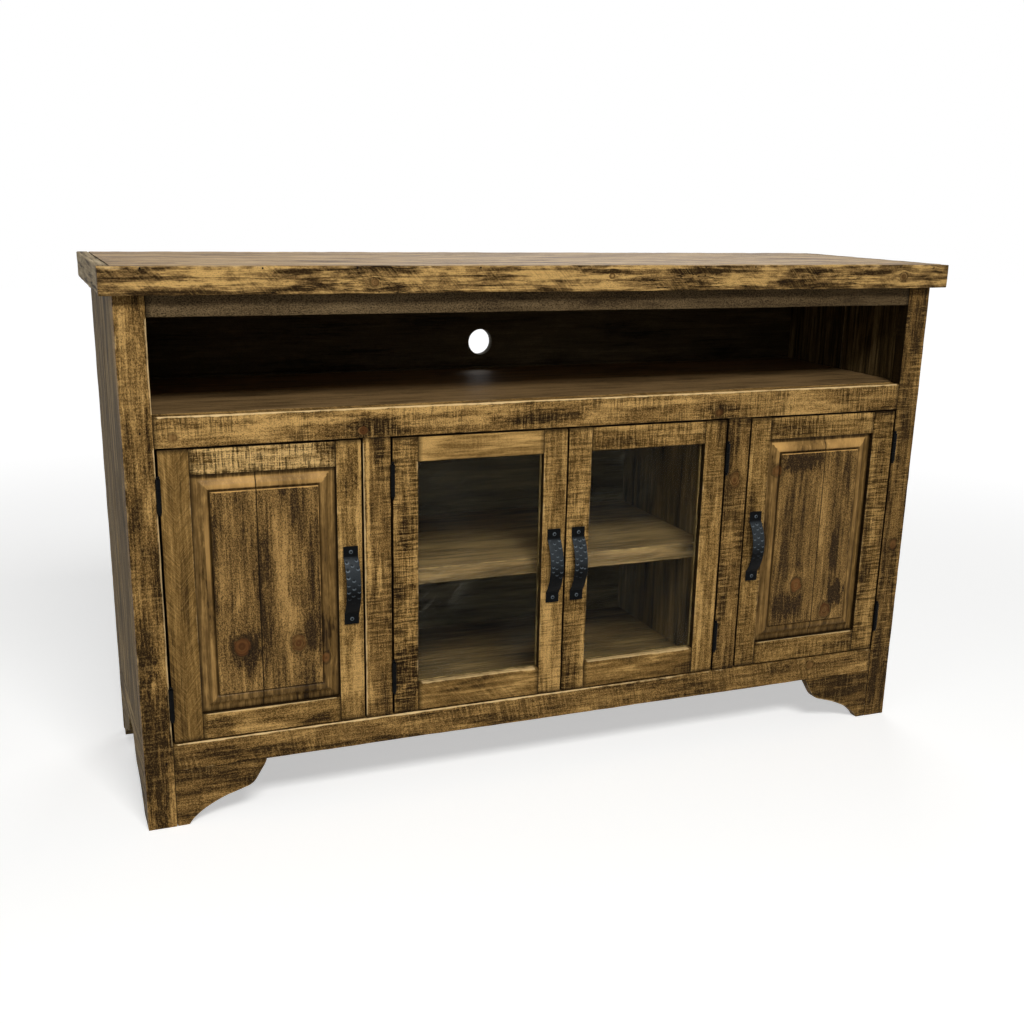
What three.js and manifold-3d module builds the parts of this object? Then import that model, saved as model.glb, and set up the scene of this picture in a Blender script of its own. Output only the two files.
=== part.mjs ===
// Rustic pine media cabinet: an open bay under a lipped plank top, two panelled doors
// and two glazed doors hung in a face frame that stands on shaped bracket feet.
// Millimetres, +Z up, front towards -Y, origin on the floor under the middle of the top.
import * as THREE from 'three';
import { mergeVertices } from 'three/addons/utils/BufferGeometryUtils.js';
import Module from 'manifold-3d';

const wasm = await Module();
wasm.setup();

// Overall size
const topLength = 1524;
const topDepth = 457;
const overallHeight = 914;

// Top: a glued-up panel inside three deep edge strips
const sideOverhang = 19.5;
const frontOverhang = 22;
const edgeHeight = 43;
const edgeThickness = 19;
const endGroove = 1.5;
const panelThickness = 22;

// Face frame
const stileWidth = 47.2;
const frameDepth = 28;
const sideOpeningWidth = 327.4;
const legHeight = 100;
const bottomRailHeight = 48;
const middleRailHeight = 49.5;
const bayHeight = 148.5;
const topRailHeight = 54;

// Bracket feet
const toeLength = 67; // from the corner of the body, on the floor
const backToeLength = 35;
const footRun = 133; // from the toe to the end of the foot under the rail
const bracketThickness = 20;

// Carcass boards
const sideThickness = 20;
const backThickness = 18;
const bayShelfThickness = 20;
const bottomShelfThickness = 20;
const partitionThickness = 19;
const partitionInset = 4;
const housingDepth = 6;
const shelfThickness = 30;
const shelfTopHeight = 392;
const shelfSetback = 60;

// Cable hole in the back of the open bay
const cableHoleDiameter = 50;
const cableHoleOffset = -9;
const cableHoleRise = 51; // from the bay's floor to the middle of the hole

// Clearances
const seam = 0.3; // between pieces that touch
const latchGap = 2.5; // round a door, except at its hinges
const meetingGap = 2.5; // between the two glazed doors
const cutOverrun = 2;

// Doors
const doorThickness = 21;
const grooveSetback = 9;
const grooveWidth = 7;
const grooveDepth = 9;
const panelDoorHingeStile = 47.5;
const panelDoorLatchStile = 42.5;
const panelDoorTopRail = 41.5;
const panelDoorBottomRail = 45;
const panelMargin = 30;
const panelFieldDepth = 2;
const glassDoorStile = 44.5;
const glassDoorTopRail = 42;
const glassDoorBottomRail = 51;
const rebateWidth = 8;
const glassSetback = 12;
const glassThickness = 3;
const tenonShoulder = 8;

// Butt hinges with their barrels proud of the face
const leafThickness = 1;
const leafSpace = 0.4;
const leafWidth = 18;
const knuckleRadius = 4;
const knuckleGap = 0.4;
const barrelLength = 54;
const middleKnuckleLength = 20;
const pinRadius = 1.7;
const pinTipRadius = 3;
const pinTipLength = 5;
const hingeInset = 70;
const hingeScrewSpacing = 32;
const hingeScrewSetback = 10;
const hingeScrewRadius = 1.4;
const hingeScrewHeadRadius = 2.8;
const hingeScrewCone = 1.4;
const hingeScrewLength = 13;
const headSink = 0.1;

// Strap pulls
const pullLength = 136;
const pullWidth = 25;
const pullEndLength = 19;
const pullThickness = 3;
const pullReach = 21; // from the door's face to the outside of the bow
const pullCentreHeight = 393;
const pullScrewInset = 9.5;
const pullScrewRadius = 1.8;
const pullScrewHeadRadius = 4;
const pullScrewHeadHeight = 2;
const pullScrewLength = 17;
const screwTipLength = 3;

const barrelSides = 8;
const boreSides = 6;
const hingeScrewSides = 6;
const pullScrewSides = 8;
const holeSides = 28;
const pullArcSteps = 12;
const footCurveSteps = 16;

// Ogee of a foot, from its toe to the underside of the rail: along the foot, up the foot
const footShares = [
  [0, 0], [0.044, 0.086], [0.174, 0.231], [0.311, 0.334], [0.516, 0.451],
  [0.757, 0.546], [0.844, 0.627], [0.917, 0.786], [0.971, 0.9], [1, 1],
];

// Moulding worked round a door panel: across the margin, down from the field
const mouldingShares = [
  [0.24, 1], [0.36, 0.86], [0.48, 0.6], [0.58, 0.34], [0.68, 0.2],
  [0.8, 0.17], [0.88, 0.32], [0.93, 0.5], [0.97, 0.5],
];

// Ball at the end of a hinge pin, and head of a pull screw: out from the axis, along it
const pinTipShares = [[1, 0.3], [0.9, 0.75]];
const pullHeadShares = [[0.9, 0.5], [0.5, 0.9]];

const pineStain = 0x6f5330;
const pineLight = 0x8a6a3c;
const pineDark = 0x4a3823;
const pineGrey = 0x6b6152;
const panelStain = 0x5f4a2c;
const ironBlack = 0x15171a;
const glassTint = 0xaab4ae;

// Positions that follow from the sizes
const bodyLength = topLength - 2 * sideOverhang;
const topFrontY = -topDepth / 2;
const backY = topDepth / 2;
const frontY = topFrontY + frontOverhang;
const frameBackY = frontY + frameDepth;
const backInnerY = backY - backThickness;
const carcassTop = overallHeight - panelThickness;
const bayTop = carcassTop - topRailHeight;
const bayFloor = bayTop - bayHeight;
const openingTop = bayFloor - middleRailHeight;
const openingBottom = legHeight + bottomRailHeight;
const doorOpeningHeight = openingTop - openingBottom;
const centreOpeningWidth = bodyLength - 4 * stileWidth - 2 * sideOpeningWidth;
const hingeGap = 2 * (seam + leafThickness) + leafSpace;
const hingeProud = knuckleRadius + seam;
const sideInner = bodyLength / 2 - sideThickness;
const partitionInner = centreOpeningWidth / 2 + partitionInset;
const partitionOuter = partitionInner + partitionThickness;
const doorHeight = doorOpeningHeight - 2 * latchGap;
const doorBottom = openingBottom + latchGap;
const hingeHeights = [hingeInset, doorHeight - hingeInset]; // above the door's bottom edge

const cabinet = new THREE.Group();
const alongX = new THREE.Vector3(1, 0, 0);
const alongY = new THREE.Vector3(0, 1, 0);
const alongZ = new THREE.Vector3(0, 0, 1);

function wood(color) {
  return new THREE.MeshStandardMaterial({ color, roughness: 0.6, metalness: 0 });
}

function iron(color) {
  return new THREE.MeshStandardMaterial({ color, roughness: 0.5, metalness: 0.8 });
}

function addPiece(group, name, geometry, material) {
  const piece = new THREE.Mesh(geometry, material);
  piece.name = name;
  group.add(piece);
  return piece;
}

// A range is [low, high]; the ends may be given in either order
function boardBox(xRange, yRange, zRange) {
  const low = new THREE.Vector3(Math.min(...xRange), Math.min(...yRange), Math.min(...zRange));
  const high = new THREE.Vector3(Math.max(...xRange), Math.max(...yRange), Math.max(...zRange));
  const size = high.clone().sub(low);
  const middle = high.add(low).multiplyScalar(1 / 2);
  return new THREE.BoxGeometry(size.x, size.y, size.z).translate(middle.x, middle.y, middle.z);
}

function toSolid(geometry) {
  const plain = new THREE.BufferGeometry();
  plain.setAttribute('position', geometry.getAttribute('position'));
  if (geometry.index) {
    plain.setIndex(geometry.index);
  }
  const merged = mergeVertices(plain);
  return new wasm.Manifold(new wasm.Mesh({
    numProp: 3,
    vertProperties: new Float32Array(merged.getAttribute('position').array),
    triVerts: new Uint32Array(merged.index.array),
  }));
}

function toGeometry(solid) {
  const mesh = solid.getMesh();
  const indexed = new THREE.BufferGeometry();
  indexed.setAttribute('position', new THREE.BufferAttribute(mesh.vertProperties, 3));
  indexed.setIndex(new THREE.BufferAttribute(mesh.triVerts, 1));
  const geometry = indexed.toNonIndexed();
  geometry.computeVertexNormals();
  return geometry;
}

function cutFrom(geometry, cutters) {
  let solid = toSolid(geometry);
  for (const cutter of cutters) {
    solid = solid.subtract(toSolid(cutter));
  }
  return toGeometry(solid);
}

function joinAll(geometries) {
  let solid = toSolid(geometries[0]);
  for (const geometry of geometries.slice(1)) {
    solid = solid.add(toSolid(geometry));
  }
  return toGeometry(solid);
}

// Outline points are [x, z]; the board lies between the two y values
function extrudeAlongY(points, yRange) {
  const depth = Math.max(...yRange) - Math.min(...yRange);
  const shape = new THREE.Shape(points.map(([x, z]) => new THREE.Vector2(x, z)));
  const geometry = new THREE.ExtrudeGeometry(shape, { depth, bevelEnabled: false });
  geometry.rotateX(Math.PI / 2);
  return geometry.translate(0, Math.max(...yRange), 0);
}

// Outline points are [y, z]; the piece lies between the two x values
function extrudeAlongX(points, xRange) {
  const depth = Math.max(...xRange) - Math.min(...xRange);
  const shape = new THREE.Shape(points.map(([y, z]) => new THREE.Vector2(y, z)));
  const geometry = new THREE.ExtrudeGeometry(shape, { depth, bevelEnabled: false });
  geometry.applyMatrix4(new THREE.Matrix4().makeBasis(alongY, alongZ, alongX));
  return geometry.translate(Math.min(...xRange), 0, 0);
}

// A turned piece: profile points are [radius, height along the axis], from low to high
function turned(profile, sides, axis, place) {
  const points = profile.map(([radius, height]) => new THREE.Vector2(radius, height));
  const geometry = new THREE.LatheGeometry(points, sides);
  const turn = new THREE.Quaternion().setFromUnitVectors(alongY, axis);
  return geometry.applyQuaternion(turn).translate(place.x, place.y, place.z);
}

function rod(radius, low, high, sides, axis, place) {
  return turned([[0, low], [radius, low], [radius, high], [0, high]], sides, axis, place);
}

// Screws point against their axis; a grown one cuts the pilot hole
function hingeScrew(place, axis, grow = 0) {
  return turned([
    [0, -hingeScrewLength - grow],
    [hingeScrewRadius + grow, screwTipLength - hingeScrewLength - grow],
    [hingeScrewRadius + grow, -hingeScrewCone - grow],
    [hingeScrewHeadRadius + grow, 0],
    [0, 0],
  ], hingeScrewSides, axis, place);
}

function pullScrew(place, axis, grow = 0) {
  return turned([
    [0, -pullScrewLength - grow],
    [pullScrewRadius + grow, screwTipLength - pullScrewLength - grow],
    [pullScrewRadius + grow, 0],
    [pullScrewHeadRadius, 0],
    ...pullHeadShares.map(([out, up]) => [pullScrewHeadRadius * out, pullScrewHeadHeight * up]),
    [0, pullScrewHeadHeight],
  ], pullScrewSides, axis, place);
}

function screwRow(height) {
  return [height - hingeScrewSpacing / 2, height + hingeScrewSpacing / 2];
}

// Top
function buildTop() {
  const zRange = [overallHeight - edgeHeight, overallHeight];
  const stripBackY = topFrontY + edgeThickness;
  const half = topLength / 2;
  const front = boardBox([-half, half], [topFrontY, stripBackY], zRange);
  addPiece(cabinet, 'top_edge_front', front, wood(pineStain));
  const yRange = [stripBackY + seam, backY];
  for (const [name, side] of [['top_edge_left', -1], ['top_edge_right', 1]]) {
    const strip = boardBox([side * half, side * (half - edgeThickness)], yRange, zRange);
    addPiece(cabinet, name, strip, wood(pineGrey));
  }
  const panelEnd = half - edgeThickness - endGroove;
  const panel = boardBox([-panelEnd, panelEnd], yRange, [carcassTop, overallHeight]);
  addPiece(cabinet, 'top_panel', panel, wood(pineLight));
}

// Uprights of the face frame. Each centre post has its stile glued to a partition behind,
// with a housing for the end of the shelf. Pilots are the cutters for the hinge screws
function buildUprights(pilots, shelf) {
  const outer = bodyLength / 2;
  const inner = centreOpeningWidth / 2;
  const faceY = [frontY, frameBackY];
  for (const [name, side] of [['stile_left', -1], ['stile_right', 1]]) {
    const board = boardBox([side * outer, side * (outer - stileWidth)], faceY, [0, carcassTop - seam]);
    addPiece(cabinet, name, cutFrom(board, pilots[name]), wood(pineStain));
  }
  for (const [name, side] of [['centre_post_left', -1], ['centre_post_right', 1]]) {
    const stile = boardBox(
      [side * inner, side * (inner + stileWidth)],
      faceY,
      [openingBottom + seam, openingTop - seam],
    );
    const tall = boardBox(
      [side * partitionInner, side * partitionOuter],
      [frameBackY + seam, backInnerY - seam],
      [openingBottom + seam, bayFloor - bayShelfThickness - seam],
    );
    const glued = boardBox(
      [side * partitionInner, side * partitionOuter],
      [frameBackY - seam, backInnerY - seam],
      [openingBottom + seam, openingTop - seam],
    );
    const post = joinAll([stile, tall, glued]);
    addPiece(cabinet, name, cutFrom(post, [shelf, ...pilots[name]]), wood(pineStain));
  }
}

function buildRails() {
  const half = bodyLength / 2 - stileWidth - seam;
  const rails = [
    ['rail_bottom', [legHeight, openingBottom], pineStain],
    ['rail_middle', [openingTop, bayFloor], pineStain],
    ['rail_top', [bayTop, carcassTop - seam], pineDark],
  ];
  for (const [name, zRange, color] of rails) {
    addPiece(cabinet, name, boardBox([-half, half], [frontY, frameBackY], zRange), wood(color));
  }
}

// The ogee runs from the toe, on the floor, to the end of the foot under the rail
function footCurve(toeEnd, footEnd, height) {
  const points = footShares.map(([along, up]) => new THREE.Vector2(
    toeEnd + along * (footEnd - toeEnd),
    up * height,
  ));
  return new THREE.SplineCurve(points).getPoints(footCurveSteps).map((p) => [p.x, p.y]);
}

function buildFrontFeet() {
  const height = legHeight - seam;
  for (const [name, side] of [['foot_bracket_left', -1], ['foot_bracket_right', 1]]) {
    const corner = side * (bodyLength / 2 - stileWidth - seam);
    const toeEnd = side * (bodyLength / 2 - toeLength);
    const footEnd = side * (bodyLength / 2 - toeLength - footRun);
    const outline = [[corner, height], [corner, 0], ...footCurve(toeEnd, footEnd, height)];
    const board = extrudeAlongY(outline, [frontY, frontY + bracketThickness]);
    addPiece(cabinet, name, board, wood(pineDark));
  }
}

// Sides run to the floor, cut to the same feet as the front and housed for the level boards
function buildSides(housings) {
  const frontToe = frontY + toeLength;
  const backToe = backY - backToeLength;
  const front = footCurve(frontToe, frontToe + footRun, legHeight);
  const back = footCurve(backToe, backToe - footRun, legHeight).reverse();
  const outline = [
    [frameBackY + seam, carcassTop - seam],
    [frameBackY + seam, 0],
    ...front,
    ...back,
    [backY, 0],
    [backY, carcassTop - seam],
  ];
  for (const [name, side] of [['side_panel_left', -1], ['side_panel_right', 1]]) {
    const board = extrudeAlongX(outline, [side * bodyLength / 2, side * sideInner]);
    addPiece(cabinet, name, cutFrom(board, housings), wood(pineGrey));
  }
}

// Level boards, each let into the boards that carry its ends
function levelBoards() {
  const yRange = [frameBackY + seam, backInnerY - seam];
  const shelfY = [frontY + shelfSetback, backInnerY - seam];
  const reach = sideInner + housingDepth - seam;
  const shelfReach = partitionInner + housingDepth - seam;
  return {
    bay: [[-reach, reach], yRange, [bayFloor - bayShelfThickness, bayFloor]],
    bottom: [[-reach, reach], yRange, [openingBottom - bottomShelfThickness, openingBottom]],
    shelf: [[-shelfReach, shelfReach], shelfY, [shelfTopHeight - shelfThickness, shelfTopHeight]],
  };
}

function housingFor([xRange, yRange, zRange]) {
  const grow = ([low, high]) => [low - seam, high + seam];
  return boardBox(grow(xRange), grow(yRange), grow(zRange));
}

function buildInside(levels) {
  addPiece(cabinet, 'bay_shelf', boardBox(...levels.bay), wood(pineStain));
  addPiece(cabinet, 'bottom_shelf', boardBox(...levels.bottom), wood(pineDark));
  addPiece(cabinet, 'centre_shelf', boardBox(...levels.shelf), wood(pineLight));
  const half = sideInner - seam;
  const low = openingBottom - bottomShelfThickness;
  const board = boardBox([-half, half], [backInnerY, backY], [low, carcassTop - seam]);
  const place = new THREE.Vector3(cableHoleOffset, backInnerY, bayFloor + cableHoleRise);
  const through = backThickness + cutOverrun;
  const hole = rod(cableHoleDiameter / 2, -cutOverrun, through, holeSides, alongY, place);
  addPiece(cabinet, 'back_panel', cutFrom(board, [hole]), wood(pineDark));
}

// One leaf in hinge coordinates, with its screws: origin on the pin, side -1 for the frame
// and 1 for the door, swing 1 when the door reaches towards +X
function hingeLeaf(side, swing, height) {
  const sign = side * swing;
  const plate = [sign * leafSpace / 2, sign * (leafSpace / 2 + leafThickness)];
  const half = barrelLength / 2;
  const inner = middleKnuckleLength / 2;
  const knuckles = side < 0
    ? [[-half, -inner - knuckleGap], [inner + knuckleGap, half]]
    : [[-inner, inner]];
  const parts = [boardBox(plate, [hingeProud, hingeProud + leafWidth], [height - half, height + half])];
  const place = new THREE.Vector3(0, 0, height);
  for (const [low, high] of knuckles) {
    parts.push(boardBox(plate, [pinRadius + seam, hingeProud + seam], [height + low, height + high]));
    parts.push(rod(knuckleRadius, low, high, barrelSides, alongZ, place));
  }
  for (const screw of hingeScrewPlaces(side, swing, [height])) {
    parts.push(hingeScrew(screw.place, screw.axis));
  }
  if (side < 0) {
    return joinAll([...parts, hingePin(place)]);
  }
  const bore = rod(pinRadius + seam, -half, half, boreSides, alongZ, place);
  return cutFrom(joinAll(parts), [bore]);
}

// The pin is fast in the frame leaf's knuckles and ends in a small ball each way
function hingePin(place) {
  const end = barrelLength / 2;
  const ball = pinTipShares.map(([out, along]) => [pinTipRadius * out, end + pinTipLength * along]);
  const upper = [[pinRadius, end], ...ball, [0, end + pinTipLength]];
  const lower = upper.map(([radius, height]) => [radius, -height]).reverse();
  return turned([...lower, ...upper], barrelSides, alongZ, place);
}

function hingeScrewPlaces(side, swing, heights) {
  const sign = side * swing;
  const axis = new THREE.Vector3(-sign, 0, 0);
  const x = sign * (leafSpace / 2 + headSink);
  const y = hingeProud + hingeScrewSetback;
  return heights.flatMap(screwRow).map((z) => ({ place: new THREE.Vector3(x, y, z), axis }));
}

// A strap seen from its side: flat ends and a bow whose outside is an arc
function pullOutline(faceY, centreZ) {
  const halfBow = pullLength / 2 - pullEndLength;
  const rise = pullReach - pullThickness;
  const radius = (halfBow ** 2 + rise ** 2) / (2 * rise);
  const half = Math.asin(halfBow / radius);
  const back = faceY - seam;
  const arc = (arcRadius, offset) => {
    const points = [];
    for (let i = 0; i <= pullArcSteps; i += 1) {
      const angle = -half + (2 * half * i) / pullArcSteps;
      const reach = arcRadius * Math.cos(angle) - radius * Math.cos(half);
      points.push([back - offset - reach, centreZ + arcRadius * Math.sin(angle)]);
    }
    return points;
  };
  const inner = arc(radius, 0);
  const outer = arc(radius, pullThickness).reverse();
  return [
    [back, centreZ - pullLength / 2],
    ...inner,
    [back, centreZ + pullLength / 2],
    [back - pullThickness, centreZ + pullLength / 2],
    ...outer,
    [back - pullThickness, centreZ - pullLength / 2],
  ];
}

// A board whose front steps in from its edges: each ring is [inset from the edge, y]
function steppedPanel(xRange, zRange, backFaceY, rings) {
  const [xLow, xHigh] = xRange;
  const [zLow, zHigh] = zRange;
  const corners = (inset, y) => [
    [xLow + inset, y, zLow + inset],
    [xHigh - inset, y, zLow + inset],
    [xHigh - inset, y, zHigh - inset],
    [xLow + inset, y, zHigh - inset],
  ];
  const loops = [corners(0, backFaceY), ...rings.map(([inset, y]) => corners(inset, y))];
  const index = [2, 1, 0, 3, 2, 0];
  for (let ring = 0; ring + 1 < loops.length; ring += 1) {
    for (let i = 0; i < 4; i += 1) {
      const a = ring * 4 + i;
      const b = ring * 4 + (i + 1) % 4;
      index.push(a, b, b + 4, a, b + 4, a + 4);
    }
  }
  const last = (loops.length - 1) * 4;
  index.push(last, last + 1, last + 2, last, last + 2, last + 3);
  const geometry = new THREE.BufferGeometry();
  geometry.setAttribute('position', new THREE.Float32BufferAttribute(loops.flat(2), 3));
  geometry.setIndex(index);
  return geometry;
}

function buildPanel(group, name, frame) {
  const reach = grooveDepth - seam;
  const tongueY = frame.faceY + grooveSetback + seam;
  const fieldY = frame.faceY + panelFieldDepth;
  const xRange = [frame.openX[0] - reach, frame.openX[1] + reach];
  const zRange = [frame.openZ[0] - reach, frame.openZ[1] + reach];
  const rings = [[0, tongueY]];
  for (const [across, down] of mouldingShares) {
    rings.push([reach + across * panelMargin, fieldY + down * (tongueY - fieldY)]);
  }
  rings.push([reach + panelMargin, fieldY]);
  const backFace = frame.faceY + grooveSetback + grooveWidth - seam;
  addPiece(group, `${name}_panel`, steppedPanel(xRange, zRange, backFace, rings), wood(panelStain));
}

function buildGlass(group, name, frame) {
  const reach = rebateWidth - seam;
  const glassFront = frame.faceY + glassSetback + seam;
  const glassY = [glassFront, glassFront + glassThickness];
  const xRange = [frame.openX[0] - reach, frame.openX[1] + reach];
  const zRange = [frame.openZ[0] - reach, frame.openZ[1] + reach];
  const pane = new THREE.MeshStandardMaterial({
    color: glassTint,
    roughness: 0.08,
    metalness: 0,
    transparent: true,
    opacity: 0.3,
  });
  addPiece(group, `${name}_glass`, boardBox(xRange, glassY, zRange), pane);
}

// A door hangs in a group whose origin is on its hinge axis, level with its bottom edge.
// swing is 1 for a door that reaches from its hinges towards +X, and -1 for the other hand
function buildDoor(spec) {
  const { name, swing, axisX, width, glazed } = spec;
  const group = new THREE.Group();
  group.position.set(axisX, frontY - hingeProud, doorBottom);
  cabinet.add(group);
  const hingeStile = glazed ? glassDoorStile : panelDoorHingeStile;
  const latchStile = glazed ? glassDoorStile : panelDoorLatchStile;
  const topRail = glazed ? glassDoorTopRail : panelDoorTopRail;
  const bottomRail = glazed ? glassDoorBottomRail : panelDoorBottomRail;
  const hingeEdge = hingeGap / 2;
  const latchEdge = hingeEdge + width;
  const faceY = hingeProud;
  const doorBackY = faceY + doorThickness;
  const yRange = [faceY, doorBackY];
  const openStart = hingeEdge + hingeStile;
  const openEnd = latchEdge - latchStile;
  const across = (from, to) => [swing * from, swing * to];
  const openX = [Math.min(...across(openStart, openEnd)), Math.max(...across(openStart, openEnd))];
  const openZ = [bottomRail, doorHeight - topRail];
  const frame = { faceY, openX, openZ };

  // Rails first, because their tongues set the mortises of a glazed door's stiles
  const tongueY = [faceY + grooveSetback + seam, faceY + grooveSetback + grooveWidth - seam];
  const tongueReach = grooveDepth - seam;
  const tongueX = across(openStart - tongueReach, openEnd + tongueReach);
  const shoulder = glazed ? tenonShoulder : grooveDepth;
  const endShoulder = glazed ? tenonShoulder : 0;
  const railList = [
    ['top_rail', [openZ[1], doorHeight], [openZ[1] + shoulder, doorHeight - endShoulder]],
    ['bottom_rail', [0, openZ[0]], [endShoulder, openZ[0] - shoulder]],
  ];
  const railX = across(openStart + seam, openEnd - seam);
  const rebateY = [faceY + glassSetback, doorBackY + cutOverrun];
  const edgeDepth = glazed ? rebateWidth : grooveDepth;
  const edgeY = glazed ? rebateY : [faceY + grooveSetback, faceY + grooveSetback + grooveWidth];
  const wideX = across(openStart - cutOverrun, openEnd + cutOverrun);
  const edgeZ = [openZ[0] - edgeDepth, openZ[1] + edgeDepth];
  const railEdgeCut = boardBox(wideX, edgeY, edgeZ);
  const mortises = [];
  for (const [railName, zRange, tongueZ] of railList) {
    const body = cutFrom(boardBox(railX, yRange, zRange), [railEdgeCut]);
    const tongue = boardBox(tongueX, tongueY, tongueZ);
    addPiece(group, `${name}_${railName}`, joinAll([body, tongue]), wood(pineStain));
    mortises.push(boardBox(
      across(openStart - grooveDepth, openEnd + grooveDepth),
      [tongueY[0] - seam, tongueY[1] + seam],
      [tongueZ[0] - seam, tongueZ[1] + seam],
    ));
  }
  const fullHeight = [-cutOverrun, doorHeight + cutOverrun];
  const stileEdgeX = across(openStart - edgeDepth, openEnd + edgeDepth);
  const stileEdgeCut = boardBox(stileEdgeX, edgeY, glazed ? edgeZ : fullHeight);
  const edgeCuts = glazed ? [stileEdgeCut, ...mortises] : [stileEdgeCut];

  // Stiles, with pilot holes for the hinge and pull screws
  const hingeScrews = hingeScrewPlaces(1, swing, hingeHeights);
  const hingePilots = hingeScrews.map(({ place, axis }) => hingeScrew(place, axis, seam));
  const pullX = swing * (latchEdge - latchStile / 2);
  const pullZ = pullCentreHeight - doorBottom;
  const outwards = new THREE.Vector3(0, -1, 0);
  const pullScrews = [-1, 1].map((end) => new THREE.Vector3(
    pullX,
    faceY - seam - pullThickness,
    pullZ + end * (pullLength / 2 - pullScrewInset),
  ));
  const pullPilots = pullScrews.map((place) => pullScrew(place, outwards, seam));
  const hingeBoard = boardBox(across(hingeEdge, openStart), yRange, [0, doorHeight]);
  const latchBoard = boardBox(across(openEnd, latchEdge), yRange, [0, doorHeight]);
  const hingeStilePiece = cutFrom(hingeBoard, [...edgeCuts, ...hingePilots]);
  const latchStilePiece = cutFrom(latchBoard, [...edgeCuts, ...pullPilots]);
  addPiece(group, `${name}_hinge_stile`, hingeStilePiece, wood(pineLight));
  addPiece(group, `${name}_latch_stile`, latchStilePiece, wood(pineStain));

  // Hinge leaves, and the strap pull with its two screws
  for (const [height, place] of [[hingeHeights[0], 'lower'], [hingeHeights[1], 'upper']]) {
    addPiece(group, `${name}_${place}_hinge_leaf`, hingeLeaf(1, swing, height), iron(ironBlack));
  }
  const strapX = [pullX - pullWidth / 2, pullX + pullWidth / 2];
  const strap = extrudeAlongX(pullOutline(faceY, pullZ), strapX);
  const pull = joinAll([strap, ...pullScrews.map((place) => pullScrew(place, outwards))]);
  addPiece(group, `${name}_pull`, pull, iron(ironBlack));

  if (glazed) {
    buildGlass(group, name, frame);
  } else {
    buildPanel(group, name, frame);
  }
}

// The leaf and pin of each hinge on the frame's side
function buildFrameLeaves({ name, swing, axisX }) {
  for (const [height, place] of [[hingeHeights[0], 'lower'], [hingeHeights[1], 'upper']]) {
    const leaf = addPiece(
      cabinet,
      `${name}_${place}_hinge_pin_leaf`,
      hingeLeaf(-1, swing, height),
      iron(ironBlack),
    );
    leaf.position.set(axisX, frontY - hingeProud, doorBottom);
  }
}

function framePilots({ swing, axisX }) {
  const shift = new THREE.Vector3(axisX, frontY - hingeProud, doorBottom);
  return hingeScrewPlaces(-1, swing, hingeHeights).map(
    ({ place, axis }) => hingeScrew(place.add(shift), axis, seam),
  );
}

function doorSpecs() {
  const sideWidth = sideOpeningWidth - hingeGap - latchGap;
  const glassWidth = (centreOpeningWidth - 2 * hingeGap - meetingGap) / 2;
  const outerX = bodyLength / 2 - stileWidth - hingeGap / 2;
  const innerX = centreOpeningWidth / 2 - hingeGap / 2;
  return [
    { name: 'door_left', swing: 1, axisX: -outerX, width: sideWidth, glazed: false, upright: 'stile_left' },
    {
      name: 'glass_door_left', swing: 1, axisX: -innerX, width: glassWidth, glazed: true,
      upright: 'centre_post_left',
    },
    {
      name: 'glass_door_right', swing: -1, axisX: innerX, width: glassWidth, glazed: true,
      upright: 'centre_post_right',
    },
    { name: 'door_right', swing: -1, axisX: outerX, width: sideWidth, glazed: false, upright: 'stile_right' },
  ];
}

const doors = doorSpecs();
const pilots = Object.fromEntries(doors.map((spec) => [spec.upright, framePilots(spec)]));
const levels = levelBoards();

buildTop();
buildUprights(pilots, housingFor(levels.shelf));
buildRails();
buildFrontFeet();
buildSides([levels.bay, levels.bottom].map(housingFor));
buildInside(levels);
for (const spec of doors) {
  buildFrameLeaves(spec);
  buildDoor(spec);
}

export default cabinet;
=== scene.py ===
import math

import bmesh
import bpy
import numpy as np
from mathutils import Matrix, Vector


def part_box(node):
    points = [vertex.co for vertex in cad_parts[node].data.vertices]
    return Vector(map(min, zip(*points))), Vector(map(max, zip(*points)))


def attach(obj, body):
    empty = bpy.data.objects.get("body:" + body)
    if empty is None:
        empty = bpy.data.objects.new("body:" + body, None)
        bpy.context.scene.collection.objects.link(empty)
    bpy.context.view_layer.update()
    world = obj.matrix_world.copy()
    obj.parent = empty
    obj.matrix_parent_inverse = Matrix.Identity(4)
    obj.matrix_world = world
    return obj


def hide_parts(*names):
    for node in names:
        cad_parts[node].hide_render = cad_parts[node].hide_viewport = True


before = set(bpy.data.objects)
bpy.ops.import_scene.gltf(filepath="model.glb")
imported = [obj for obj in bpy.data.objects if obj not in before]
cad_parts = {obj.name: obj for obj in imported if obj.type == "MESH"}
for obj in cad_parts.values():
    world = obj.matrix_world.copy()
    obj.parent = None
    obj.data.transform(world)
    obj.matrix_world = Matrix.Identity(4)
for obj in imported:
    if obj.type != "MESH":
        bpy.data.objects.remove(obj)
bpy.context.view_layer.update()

# All sizes are metres and all colours are written as on a colour picker, 0 to 255
print("stage: camera")

camera = {
    "place": (-0.89295, -2.1360, 1.0210),
    "yaw": 0.3879, "pitch": -0.2877, "roll": 0.0201,
    "lens": 43.62, "shift": (0.0014, 0.0502),
}


def addObject(name, data):
    made = bpy.data.objects.new(name, data)
    bpy.context.scene.collection.objects.link(made)
    return made


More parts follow.
